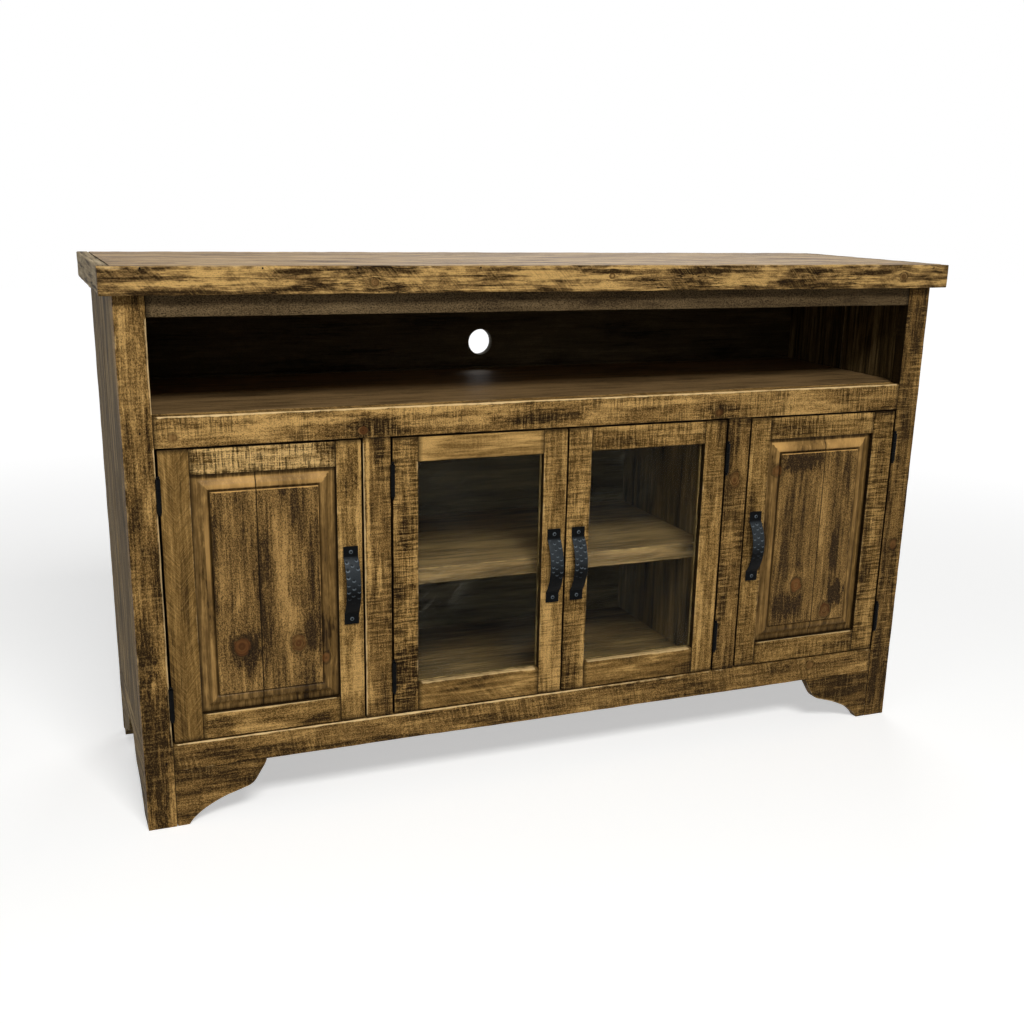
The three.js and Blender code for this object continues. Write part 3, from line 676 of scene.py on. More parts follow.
# Face frame
frameBoards = [
    # The stiles' long patches are painted light and shade: stile_left's at 0.35 lightens its upper part, and
    # those at -0.3 darken both stiles' lower parts
    {"node": "stile_left", "grain": "Z", "seed": 21, "joint": (0, 1), "lit": (0.6, 1), "finish": {
        "Lift": -0.1, "Saw": 0.35, "Streak": 1.2,
        "patches": [(0.35, 0, 0.15, 0.03, 0.2), (-0.144, -0.008, 0.05, 0.014, -0.35),
                    (-0.3, 0, 0.14, 0.03, -0.3)]}},
    {"node": "stile_right", "grain": "Z", "seed": 22, "joint": (1, 0), "lit": (0.3, 0.5), "finish": {
        "Lift": -0.1, "knots": [(-0.078, 0.002, 0.009, 1.0)], "patches": [(-0.3, 0, 0.12, 0.03, -0.2)]}},
    {"node": "rail_middle", "grain": "X", "seed": 23, "joint": (1, 0), "finish": {
        "Lift": 0.13, "acrossIsLast": True, "Rub": 0.95,
        "knots": [(-0.367, -0.012, 0.007, 0.8), (0.298, -0.013, 0.007, 0.8), (-0.667, -0.008, 0.006, 0.6)],
        "patches": [(-0.34, 0.0, 0.05, 0.02, -0.4), (-0.06, -0.005, 0.1, 0.013, -0.4),
                    (0.3, -0.01, 0.04, 0.02, -0.3), (-0.47, 0.008, 0.09, 0.008, 0.35),
                    (0.15, 0.012, 0.12, 0.006, 0.25)]}},
    {"node": "rail_bottom", "grain": "X", "seed": 24, "fades": True, "finish": {
        "Lift": -0.05, "acrossIsLast": True, "Skew": 0.2, "Saw": 0.5, "Rub": 1.0,
        "knots": [(0.548, 0.007, 0.008, 0.6)]}},
    # The top rail lies under the top's overhang and takes the pine with painted shade
    {"node": "rail_top", "grain": "X", "seed": 25, "stain": "paintedShadePine", "slot": "dark_pine",
     "finish": {"acrossIsLast": True}},
]
frameRubsAndHighlights = {
    "joint": 0.05,
    "fade": ((0.0, 0.4), (1, 0.5)),   # along X, on the lower rail's upper front edge, whose painted highlight fades from left to right
}


# Edges catch the light along a gap or an opening, painted as a highlight with their wear, but not where two
# boards meet
def makeFrame(boards, levels):
    openings = [(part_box("rail_bottom")[1].z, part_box("rail_middle")[0].z),
                (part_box("rail_middle")[1].z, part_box("rail_top")[0].z)]
    for spec in boards:
        upright = spec["grain"] == "Z"

        def rubs(s):
            if upright:
                clear = any(low < s < high for low, high in openings)
                return (*[lit if clear or lit < 1 else levels["joint"] for lit in spec["lit"]], 0.3, 0.3)
            return (0.5, 0.3, 0.5, float(np.interp(s, *levels["fade"])) if "fades" in spec else 1)

        makeBoard(spec["node"] + "_board", spec["grain"], boxOf(spec["node"]), spec.get("stain", "frame"),
                  spec["seed"], "root", spec.get("slot", "frame_pine"), [spec["node"]],
                  {"joint": spec.get("joint", (0, 0)), "ends": 0.4 if upright else -0.7},
                  rubs, **spec["finish"])


makeFrame(frameBoards, frameRubsAndHighlights)

posts = {
    "partitionInset": 0.004, "partitionThickness": 0.019, "seam": 0.0003,
    "pair": (
        {"name": "centre_left", "node": "centre_post_left", "side": -1, "seed": 26, "lit": 1, "finish": {
            "Lift": -0.06,
            "patches": [(0.002, 0.003, 0.03, 0.004, 0.9), (0.16, -0.016, 0.2, 0.003, 0.5),
                        (0.24, 0.004, 0.05, 0.012, -0.4)]}},
        {"name": "centre_right", "node": "centre_post_right", "side": 1, "seed": 27, "lit": 0.25, "finish": {
            "Lift": -0.14, "knots": [(0.13, -0.003, 0.012, 0.7)]}},
    ),
}


# Each post is a stile in the face frame with a partition behind it
def makePosts(spec):
    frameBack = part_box("stile_left")[1].y
    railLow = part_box("rail_middle")[0].z
    for post in spec["pair"]:
        name, node, side, seed = post["name"], post["node"], post["side"], post["seed"]
        low, high = boxOf(node)
        stile = (low, Vector((high.x, frameBack, railLow - spec["seam"])))
        makeBoard(name + "_stile", "Z", stile, "frame", seed, "root", "frame_pine", [node],
                  {"joint": (1, 1), "ends": -0.7}, lambda s: (post["lit"], 0.4, 0.3, 0.3), **post["finish"])
        inner = (high.x if side < 0 else low.x) + side * spec["partitionInset"]
        outer = inner + side * spec["partitionThickness"]
        partition = (Vector((min(inner, outer), frameBack + spec["seam"], low.z)),
                     Vector((max(inner, outer), high.y, high.z)))
        makeBoard(name + "_partition", "Z", partition, "inside", seed + 40, "root", "inside_pine", [node])


makePosts(posts)


# Height of a CAD node's lower edge along one of its axes, read from its corners
def lowerEdge(node, axis):
    lowest = {}
    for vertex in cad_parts[node].data.vertices:
        key = round(vertex.co[axis], 5)
        lowest[key] = min(lowest.get(key, 9), vertex.co.z)
    keys = sorted(lowest)
    return lambda s: float(np.interp(s, keys, [lowest[key] for key in keys]))


feet = {
    "tip": 0.0004,        # cut off the thin end
    "thinnest": 0.0015,
    "rubs": (0.7, 0.7, 0.1, 0.05),
    "wear": {"ease": 0.0013, "step": 0.003},
    "pair": (("foot_left", "foot_bracket_left", -1, 31, -0.14),
             ("foot_right", "foot_bracket_right", 1, 32, -0.28)),
}


def makeFeet(spec):
    for name, node, side, seed, lift in spec["pair"]:
        low, high = boxOf(node)
        edge = lowerEdge(node, 0)
        material = pineMaterial(name + "Pine", "frame", "X", (low + high) / 2, seed, acrossIsLast=True,
                                Lift=lift, Saw=0.4)

        def corners(s):
            return rectangle(low.y, high.y, min(edge(s), high.z - spec["thinnest"]), high.z, spec["rubs"])

        board = sweepBoard(name, "X", low.x + spec["tip"] * (side > 0), high.x - spec["tip"] * (side < 0),
                           corners, material, seed, **spec["wear"])
        dress(board, "root", "dark_pine", node)


makeFeet(feet)

sides = {
    "seam": 0.0008, "plankJoints": (0.02,), "innerGlaze": 0.6, "shine": 0.01,
    "wear": {"ease": 0.0012, "hollow": 0.0004}, "skirtWear": {"step": 0.004, "hollow": 0.0004},
}


# Upright planks over a skirt whose lower edge is shaped
def makeSides(spec):
    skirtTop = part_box("rail_bottom")[1].z
    half = spec["seam"] / 2
    for name, node, seed in (("side_left", "side_panel_left", 33), ("side_right", "side_panel_right", 34)):
        low, high = boxOf(node)
        edge = lowerEdge(node, 1)
        joints = [low.y, *spec["plankJoints"], high.y]
        glaze = (0, spec["innerGlaze"]) if high.x < 0 else (spec["innerGlaze"], 0)
        for i in range(len(joints) - 1):
            front = joints[i] + half * (i > 0)
            rear = joints[i + 1] - half * (i + 2 < len(joints))
            plank = (Vector((low.x, front, skirtTop + spec["seam"])), Vector((high.x, rear, high.z)))
            makeBoard(f"{name}_plank_{i + 1}", "Z", plank, "side", seed + 10 * i, "root", "side_pine", [node],
                      {**spec["wear"], "joint": glaze}, shine=spec["shine"])
        material = pineMaterial(name + "SkirtPine", "side", "Y", (low + high) / 2, seed + 5,
                                shine=spec["shine"])

        def corners(s):
            return rectangle(edge(s), skirtTop, low.x, high.x, (1, 1, 1, 1))

        skirt = sweepBoard(name + "_skirt", "Y", low.y, high.y, corners, material, seed + 5,
                           **spec["skirtWear"])
        dress(skirt, "root", "side_pine", node)


makeSides(sides)

inside = {
    "clip": 0.0003,
    "finish": {"shine": 0.08, "Streak": 1.1, "Rub": 0.4},
}


# Level boards stop at the faces that carry them, where the CAD ones run on into their housings
def makeInside(spec):
    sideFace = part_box("side_panel_right")[0].x - spec["clip"]
    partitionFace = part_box("centre_post_right")[0].x + posts["partitionInset"] - spec["clip"]
    for node, reach, seed, lift in (("bay_shelf", sideFace, 41, 0.3), ("bottom_shelf", sideFace, 42, 0.05),
                                    ("centre_shelf", partitionFace, 43, 0.2)):
        low, high = boxOf(node)
        low.x, high.x = -reach, reach
        makeBoard(node + "_board", "X", (low, high), "inside", seed, "root", "inside_pine", [node],
                  Lift=lift, **spec["finish"])


makeInside(inside)

back = {
    "joints": (0.19, 0.37, 0.56, 0.74),   # as shares of the height
    "gap": 0.0008, "ease": 0.0007,
    "tongue": (0.0015, 0.004),            # half of its thickness and height
}


# Boards cut from a CAD node's own mesh at levels, each with its edges eased
def splitCopy(node, levels, gap, ease):
    whole = bmesh.new()
    for lowest, highest in zip(levels, levels[1:]):
        part = bmesh.new()
        part.from_mesh(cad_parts[node].data)
        bmesh.ops.remove_doubles(part, verts=part.verts, dist=1e-6)
        for level, sign in ((lowest + gap / 2, -1), (highest - gap / 2, 1)):
            cut = bmesh.ops.bisect_plane(part, geom=part.verts[:] + part.edges[:] + part.faces[:],
                                         plane_co=(0, 0, level), plane_no=(0, 0, sign), clear_outer=True)
            rim = [e for e in cut["geom_cut"] if isinstance(e, bmesh.types.BMEdge)]
            if rim:
                bmesh.ops.contextual_create(part, geom=rim)
        bmesh.ops.dissolve_limit(part, angle_limit=math.radians(1), verts=part.verts, edges=part.edges)
        sharp = [e for e in part.edges if len(e.link_faces) == 2 and e.calc_face_angle() > math.radians(40)]
        bmesh.ops.bevel(part, geom=sharp, offset=ease, segments=2, profile=0.5, affect="EDGES",
                        clamp_overlap=True)
        bmesh.ops.recalc_face_normals(part, faces=part.faces)
        piece = bpy.data.meshes.new("part")
        part.to_mesh(piece)
        part.free()
        whole.from_mesh(piece)
        bpy.data.meshes.remove(piece)
    return whole


# A loose tongue in each joint keeps the light out of it
def makeBack(spec):
    low, high = boxOf("back_panel")
    joints = [low.z + share * (high.z - low.z) for share in spec["joints"]]
    levels = [low.z - spec["gap"], *joints, high.z + spec["gap"]]
    whole = splitCopy("back_panel", levels, spec["gap"], spec["ease"])
    thick, tall = spec["tongue"]
    for z in joints:
        middle = Vector(((low.x + high.x) / 2, (low.y + high.y) / 2, z))
        size = Vector((high.x - low.x - 2 * tall, thick * 2, tall * 2))
        bmesh.ops.create_cube(whole, size=1, matrix=Matrix.LocRotScale(middle, None, size))
    mesh = bpy.data.meshes.new("back_boards")
    whole.to_mesh(mesh)
    whole.free()
    smoothFaces(mesh)
    mesh.materials.append(pineMaterial("backPine", "back", "X", (low + high) / 2, 44))
    dress(addObject("back_boards", mesh), "root", "inside_pine", "back_panel")


makeBack(back)

print("stage: doors")

door = {
    "seam": 0.0003,
    "grooveBack": 0.009, "grooveWidth": 0.007, "grooveDepth": 0.009,
    "rebateBack": 0.012, "rebateWidth": 0.008,
    "shut": 2e-5,    # depth of the pocket where a rail meets the stile
    # joint glazes the sides that meet a board or face a gap, partly painted shade in the gaps; ledgeJoint's
    # negative rubs the glass doors' lower rail's upper side light, a painted highlight
    "joint": (1, 1), "ledgeJoint": (1, -0.9), "stileEnds": -0.8, "railEnds": -0.7,
    # how far the edges are rubbed, which also paints their highlights: round the opening, outside, at joints
    # and elsewhere. Round the opening the lower rail's upper edge (ledge) gets the strongest painted
    # highlight, as light falls on it, and the upper rail's lower edge (head) little
    "innerRub": 0.6, "ledgeRub": 1, "headRub": 0.2, "outerRub": 0.1, "jointRub": 0.05, "rub": 0.3,
}


# Front, rear and depth of the pocket in a door's frame: a rebate for glass or a groove for a panel
def pocketOf(low, high, glazed):
    if glazed:
        return low.y + door["rebateBack"], high.y, door["rebateWidth"]
    front = low.y + door["grooveBack"]
    return front, front + door["grooveWidth"], door["grooveDepth"]


# Stile of a door: its pocket opens towards the door's middle, between the rails
def makeDoorStile(node, body, glazed, inwards, pocket, seed, **finish):
    name = node + "_board"
    low, high = boxOf(node)
    material = pineMaterial(name + "Pine", "door", "Z", (low + high) / 2, seed, **finish)
    front, rear, depth = pocketOf(low, high, glazed)
    outer, inner = (low.x, high.x)[::inwards]
    rub = door["rub"]

    def corners(s):
        clear = pocket[0] < s < pocket[1]
        bottom = inner - inwards * (depth if clear else door["shut"])
        points = [(inner, low.y, door["innerRub" if clear else "jointRub"]), (inner, front, rub),
                  (bottom, front, 0), (bottom, rear, rub * glazed)]
        if not glazed:
            points += [(inner, rear, rub), (inner, high.y, rub)]
        points += [(outer, high.y, rub), (outer, low.y, door["outerRub"])]
        return points[::inwards]

    board = sweepBoard(name, "Z", low.z, high.z, corners, material, seed, breaks=pocket,
                       joint=door["joint"], ends=door["stileEnds"])
    dress(board, body, "door_pine", node)


# Rail of a door, fitted between its stiles
def makeDoorRail(node, body, glazed, xRange, zRange, upwards, seed, **finish):
    stileLow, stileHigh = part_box(body + "_hinge_stile")
    low = Vector((xRange[0], stileLow.y, zRange[0]))
    high = Vector((xRange[1], stileHigh.y, zRange[1]))
    material = pineMaterial(node + "Pine", "door", "X", (low + high) / 2, seed, acrossIsLast=True, **finish)
    front, rear, depth = pocketOf(low, high, glazed)
    outer, inner = (low.z, high.z)[::upwards]
    bottom = inner - upwards * depth
    rub = door["rub"]
    points = [(low.y, outer, door["outerRub"]), (high.y, outer, rub)]
    if not glazed:
        points += [(high.y, inner, rub), (rear, inner, rub)]
    points += [(rear, bottom, rub * glazed), (front, bottom, 0), (front, inner, rub),
               (low.y, inner, door["ledgeRub" if upwards > 0 else "headRub"])]
    joint = door["ledgeJoint"] if glazed and upwards > 0 else door["joint"]
    board = sweepBoard(node, "X", low.x, high.x, lambda s: points[::upwards], material, seed, joint=joint,
                       ends=door["railEnds"])
    dress(board, body, "door_pine", node)


panel = {
    "margin": 0.030, "fieldDepth": 0.002, "tongueDepth": 0.0093, "backDepth": 0.0157,
    "reach": 0.0087,
    # across the margin from the frame, and down from the field, both as shares
    "profileShares": ((0.0, 1.0), (0.06, 1.0), (0.2, 0.98), (0.28, 0.95), (0.36, 0.86), (0.44, 0.7),
                      (0.5, 0.5), (0.56, 0.34), (0.62, 0.24), (0.7, 0.18), (0.77, 0.17), (0.83, 0.22),
                      (0.88, 0.34), (0.915, 0.52), (0.95, 0.56), (0.965, 0.5), (0.98, 0.06), (1.0, 0.0)),
    # Painted shade across the margin: darkest at the frame's edge and in the groove before the field
    "creviceShares": ((0.0, 1.0), (0.08, 0.55), (0.2, 0.1), (0.5, 0.0), (0.85, 0.1), (0.93, 0.85),
                      (0.97, 0.8), (0.99, 0.1), (1.0, 0.0)),
    "seamWidth": 0.0016, "seamDepth": 0.0008, "hollow": 0.0004, "step": 0.006,
    "fieldInset": 0.003,     # from the field's edge to its first grid line
    "seamClear": 0.002,      # no other grid line comes as near to a seam as this
    # for the left, right, lower and upper moulding: painted highlight on its bead, slope and lip, none on the
    # lower side and most on the upper, and painted shade, most on the lower side
    "bead": (0.62, 0.6, 0.0, 0.8), "slope": (0.0, 0.1, 0.0, 0.78), "lipHighlight": (0.05, 0.75, 0.0, 1.0),
    "paintedShade": (0.12, 0.12, 0.4, 0.0),
    # where bead, slope and lip lie across the margin
    "beadShares": (0.6, 0.84), "slopeShares": (0.28, 0.6), "lipShare": 0.975, "lipWidth": 0.0005,
}


# Lines of the panel's grid along one side: the profile at both ends, and the field with its seams
def panelLines(span, seams):
    low, high = span[0] - panel["reach"], span[1] + panel["reach"]
    edge = [0, panel["reach"] * 0.6]
    edge += [panel["reach"] + share * panel["margin"] for share, _ in panel["profileShares"]]
    start, end = low + edge[-1], high - edge[-1]
    count = int((end - start) / panel["step"])
    field = [*np.linspace(start, end, count + 1)[1:-1]]
    field += [start + panel["fieldInset"], end - panel["fieldInset"]]
    for at in seams:
        field = [f for f in field if abs(f - at) > panel["seamClear"]]
        field += [at + panel["seamWidth"] * share for share in (-1, -0.5, 0, 0.5, 1)]
    return np.array(sorted([low + e for e in edge] + [high - e for e in edge] + field)), low, high


# Raised panel: a grid whose margins are moulded, with seams between its planks
def makeDoorPanel(name, node, body, openX, openZ, seams, seed, **finish):
    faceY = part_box(node)[0].y - panel["fieldDepth"]
    profile, crevice = np.array(panel["profileShares"]), np.array(panel["creviceShares"])
    rise = panel["tongueDepth"] - panel["fieldDepth"]
    xs, xLow, xHigh = panelLines(openX, seams)
    zs, zLow, zHigh = panelLines(openZ, [])
    gridX, gridZ = np.meshgrid(xs, zs, indexing="ij")
    fromSides = np.stack([gridX - xLow, xHigh - gridX, gridZ - zLow, zHigh - gridZ])
    inset, sideOf = np.min(fromSides, 0), np.argmin(fromSides, 0)
    share = np.clip((inset - panel["reach"]) / panel["margin"], 0, 1)
    down = np.interp(share, profile[:, 0], profile[:, 1])
    onField = share >= 0.999
    fromSeam = np.min([np.abs(gridX - at) for at in seams], 0)
    groove = (fromSeam < 1e-5) * panel["seamDepth"]
    seamGlaze = np.interp(fromSeam, (0, panel["seamWidth"] / 2, panel["seamWidth"]), (1, 0.8, 0))
    hollow = panel["hollow"] * ripple(gridZ, gridX, seed, 0.2, 0.08)
    depth = panel["fieldDepth"] + down * rise + np.where(share > 0, hollow, 0) + groove * (share > 0)
    frontY = faceY + np.minimum(depth, panel["tongueDepth"])
    # Per side, the moulding's painted highlight goes to the wear layer and its painted shade to the crevice
    # layer
    bead, slope, lipHighlight, paintedShade = (np.array(panel[key])[sideOf] for key in ("bead", "slope", "lipHighlight", "paintedShade"))
    (beadLow, beadHigh), (slopeLow, slopeHigh) = panel["beadShares"], panel["slopeShares"]
    wear = np.where((share > beadLow) & (share < beadHigh), bead, 0)
    wear = wear + np.where((share > slopeLow) & (share < slopeHigh), slope, 0)
    onLip = inset < panel["reach"] + panel["margin"] + panel["lipWidth"]
    wear = np.where(share > panel["lipShare"], np.where(onLip, lipHighlight, 0), wear)
    # painted shade across the margin and on the shaded sides, with glaze in the plank seams
    hidden = np.interp(share, crevice[:, 0], crevice[:, 1])
    hidden = np.maximum(hidden, np.where((share > 0.1) & ~onField, paintedShade, 0))
    layers = {"wear": wear, "crevice": np.maximum(hidden, seamGlaze), "smoothed": np.where(onField, 0.0, 1.0)}

    count = gridX.size
    front = np.stack([gridX, frontY, gridZ], -1).reshape(-1, 3)
    rear = front.copy()
    rear[:, 1] = faceY + panel["backDepth"]
    nx, nz = gridX.shape
    squares = [(i * nz + j, (i + 1) * nz + j, (i + 1) * nz + j + 1, i * nz + j + 1)
               for i in range(nx - 1) for j in range(nz - 1)]
    faces = []
    for a, b, c, d in squares:
        i, j = divmod(a, nz)
        if (i < nx / 2) == (j < nz / 2):   # each square is split along the mitre that it lies on
            faces += [(a, b, c), (a, c, d)]
        else:
            faces += [(a, b, d), (b, c, d)]
    faces += [tuple(count + v for v in reversed(square)) for square in squares]
    ring = [i * nz for i in range(nx)] + [(nx - 1) * nz + j for j in range(1, nz)]
    ring += [i * nz + nz - 1 for i in range(nx - 2, -1, -1)] + [j for j in range(nz - 2, 0, -1)]
    faces += [(w, v, count + v, count + w) for v, w in zip(ring, ring[1:] + ring[:1])]
    layers = {key: np.concatenate([value.ravel(), np.zeros(count)]) for key, value in layers.items()}
    middle = Vector((sum(openX) / 2, faceY, sum(openZ) / 2))
    material = pineMaterial(name + "Pine", "panel", "Z", middle, seed, shine=0.07, **finish)
    made = makeObject(name, np.concatenate([front, rear]), faces, material, layers)
    dress(made, body, "panel_pine", node)


stops = {"width": 0.0068, "gap": 0.0003, "wear": {"ease": 0.0006, "rub": 0.0004, "hollow": 0.0001}}


def makeGlassStops(body, openX, openZ, seed):
    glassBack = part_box(body + "_glass")[1].y + stops["gap"]
    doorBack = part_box(body + "_hinge_stile")[1].y - stops["gap"]
    outerX = (openX[0] - stops["width"], openX[1] + stops["width"])
    outerZ = (openZ[0] - stops["width"], openZ[1] + stops["width"])
    pieces = (
        ("left", "Z", (outerX[0], openX[0]), outerZ), ("right", "Z", (openX[1], outerX[1]), outerZ),
        ("bottom", "X", (openX[0] + stops["gap"], openX[1] - stops["gap"]), (outerZ[0], openZ[0])),
        ("top", "X", (openX[0] + stops["gap"], openX[1] - stops["gap"]), (openZ[1], outerZ[1])),
    )
    for i, (place, grain, xRange, zRange) in enumerate(pieces):
        box = (Vector((xRange[0], glassBack, zRange[0])), Vector((xRange[1], doorBack, zRange[1])))
        makeBoard(f"{body}_{place}_stop", grain, box, "inside", seed + i, body, "door_pine",
                  wear=stops["wear"])


doorSwings = {"door_left": 1, "glass_door_left": 1, "glass_door_right": -1, "door_right": -1}

doorFinish = {
    "door_left": {
        "hinge_stile": {"Chevron": -1.3, "Saw": 0.35, "Cover": 0.3, "Speck": 0.3, "Mottle": 0.3,
                        "Figure": 0.4, "Lift": -0.03},
        "latch_stile": {"Saw": 0.4, "Lift": 0.18,
                        "patches": [(-0.22, 0, 0.03, 0.02, -0.3), (0.19, 0.004, 0.06, 0.014, -0.4)]},
        "top_rail": {"Saw": 0.9, "Cover": 0.2, "Speck": 0.8, "Lift": 0.36, "Light": (224, 184, 118),
                     "patches": [(0.1, 0.01, 0.02, 0.02, -0.5), (-0.11, 0, 0.03, 0.03, -0.3)]},
        "bottom_rail": {"Saw": 0.2, "Lift": 0.13,
                        "patches": [(-0.09, -0.005, 0.04, 0.02, -0.35), (0.08, -0.015, 0.04, 0.01, -0.35)]},
        "panel": {
            "knots": [(-0.091, -0.047, 0.0135, 0.9), (-0.095, 0.045, 0.0125, 0.55),
                      (-0.128, 0.09, 0.008, 0.8)],
            "patches": [(-0.1, -0.045, 0.035, 0.03, -0.3), (-0.08, 0.085, 0.04, 0.03, -0.35),
                        (0.06, -0.09, 0.12, 0.014, -0.3), (-0.02, -0.005, 0.1, 0.02, -0.25),
                        (0.06, 0.025, 0.1, 0.018, 0.25), (-0.05, 0.04, 0.03, 0.02, 0.25),
                        (-0.17, 0.06, 0.04, 0.03, -0.25)]},
        "seams": (-0.014,),
    },
    "glass_door_left": {
        "hinge_stile": {"Saw": 0.85, "Cover": 0.15, "Lift": 0.05,
                        "patches": [(-0.16, 0, 0.045, 0.04, -0.5), (0.08, 0.01, 0.03, 0.03, -0.3),
                                    (-0.02, -0.01, 0.02, 0.03, -0.35), (-0.22, 0.01, 0.04, 0.03, -0.35)]},
        "latch_stile": {"Saw": 0.6, "Cover": 0.1, "Lift": 0.22},
        "top_rail": {"Saw": 0.2, "Speck": 0.35, "Mottle": 0.4, "Lift": 0.3},
        "bottom_rail": {"Skew": 0.9, "Saw": 0.4, "Speck": 0.4, "Lift": 0.1},
    },
    "glass_door_right": {
        "hinge_stile": {"Saw": 0.6, "Lift": 0.05},
        "latch_stile": {"Saw": 0.7, "Cover": 0.1, "Lift": 0.05},
        "top_rail": {"Saw": 0.7, "Cover": 0.1, "Lift": 0.1},
        "bottom_rail": {"Saw": 0.2, "Speck": 0.4, "Lift": -0.06},
    },
    "door_right": {
        "hinge_stile": {"Saw": 0.8, "Cover": 0.15, "Lift": -0.06},
        "latch_stile": {"Saw": 0.7, "Lift": -0.04},
        "top_rail": {"Saw": 0.8, "Cover": 0.1, "Lift": 0.04},
        "bottom_rail": {"Saw": 0.7, "Lift": -0.02},
        "panel": {
            "Lift": -0.04,
            "knots": [(-0.092, -0.03, 0.012, 0.9), (-0.151, 0.042, 0.013, 0.85), (0.139, -0.093, 0.009, 0.8)],
            "patches": [(-0.12, 0.062, 0.03, 0.022, -0.7), (-0.085, -0.03, 0.03, 0.03, 0.25),
                        (0.155, -0.045, 0.022, 0.05, -0.55), (-0.03, 0.05, 0.05, 0.012, -0.35),
                        (0.08, 0.02, 0.1, 0.014, 0.25), (-0.13, -0.055, 0.03, 0.03, -0.35)]},
        "seams": (0.012,),
    },
}


def makeDoor(body, swing, seed):
    glazed = body.startswith("glass")
    finish = doorFinish[body]
    hingeBox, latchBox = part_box(body + "_hinge_stile"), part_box(body + "_latch_stile")
    leftBox, rightBox = (hingeBox, latchBox)[::swing]
    openX = (leftBox[1].x, rightBox[0].x)
    openZ = (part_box(body + "_bottom_rail")[1].z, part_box(body + "_top_rail")[0].z)
    railX = (openX[0] + door["seam"], openX[1] - door["seam"])
    for part, inwards, step in (("hinge_stile", swing, 0), ("latch_stile", -swing, 1)):
        makeDoorStile(f"{body}_{part}", body, glazed, inwards, openZ, seed + step, **finish[part])
    for part, zRange, upwards, step in (("top_rail", (openZ[1], hingeBox[1].z), -1, 2),
                                        ("bottom_rail", (hingeBox[0].z, openZ[0]), 1, 3)):
        makeDoorRail(f"{body}_{part}", body, glazed, railX, zRange, upwards, seed + step, **finish[part])
    if glazed:
        makeGlassStops(body, openX, openZ, seed + 5)
        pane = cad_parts[body + "_glass"].data
        pane.materials.clear()
        pane.materials.append(paneGlass)
    else:
        middle = (openX[0] + openX[1]) / 2
        makeDoorPanel(body + "_panel_board", body + "_panel", body, openX, openZ,
                      [middle + at for at in finish["seams"]], seed + 4, **finish["panel"])


for doorIndex, (doorBody, doorSwing) in enumerate(doorSwings.items()):
    makeDoor(doorBody, doorSwing, 51 + 10 * doorIndex)

print("stage: iron")

strap = {
    "Length": 0.136, "Width": 0.025, "Thickness": 0.003, "Reach": 0.021, "End": 0.019, "Corner": 0.0011,
    "Dimple Spacing": 0.0105, "Dimple Radius": 0.0026, "Dimple Depth": 0.0007, "Rows": 201, "Round": 64,
}
strapDimples = {
    "door_left": {"Dimple Spacing": 0.0125, "Dimple Radius": 0.0031, "Dimple Depth": 0.0009, "Seed": 3},
    "glass_door_left": {"Seed": 5}, "glass_door_right": {"Seed": 8},
    "door_right": {"Dimple Spacing": 0.0115, "Seed": 13},
}
strapShape = {
    "trim": 0.0008,          # length that the closed ends take up
    "endEase": 0.0004,
    "blend": 0.0012,         # between the bow and the flat ends
    "columns": 3.1,          # of hammer marks, over the width
    "jitter": (0.003, 0.004),
    # strengths of the painted sheen on the upper bow and of the painted highlight on each mark's lower lip
    "sheen": 0.1, "lipHighlight": 0.42,
}


# Ends a geometry tree: plain geometry with one material
def finishTree(tree, geometry, material, out):
    real = addNode(tree, "GeometryNodeRealizeInstances", {"Geometry": geometry})
    inputs = {"Geometry": real.outputs[0], "Material": material}
    finished = addNode(tree, "GeometryNodeSetMaterial", inputs)
    setInputs(out, {"Geometry": finished.outputs[0]})
    return tree


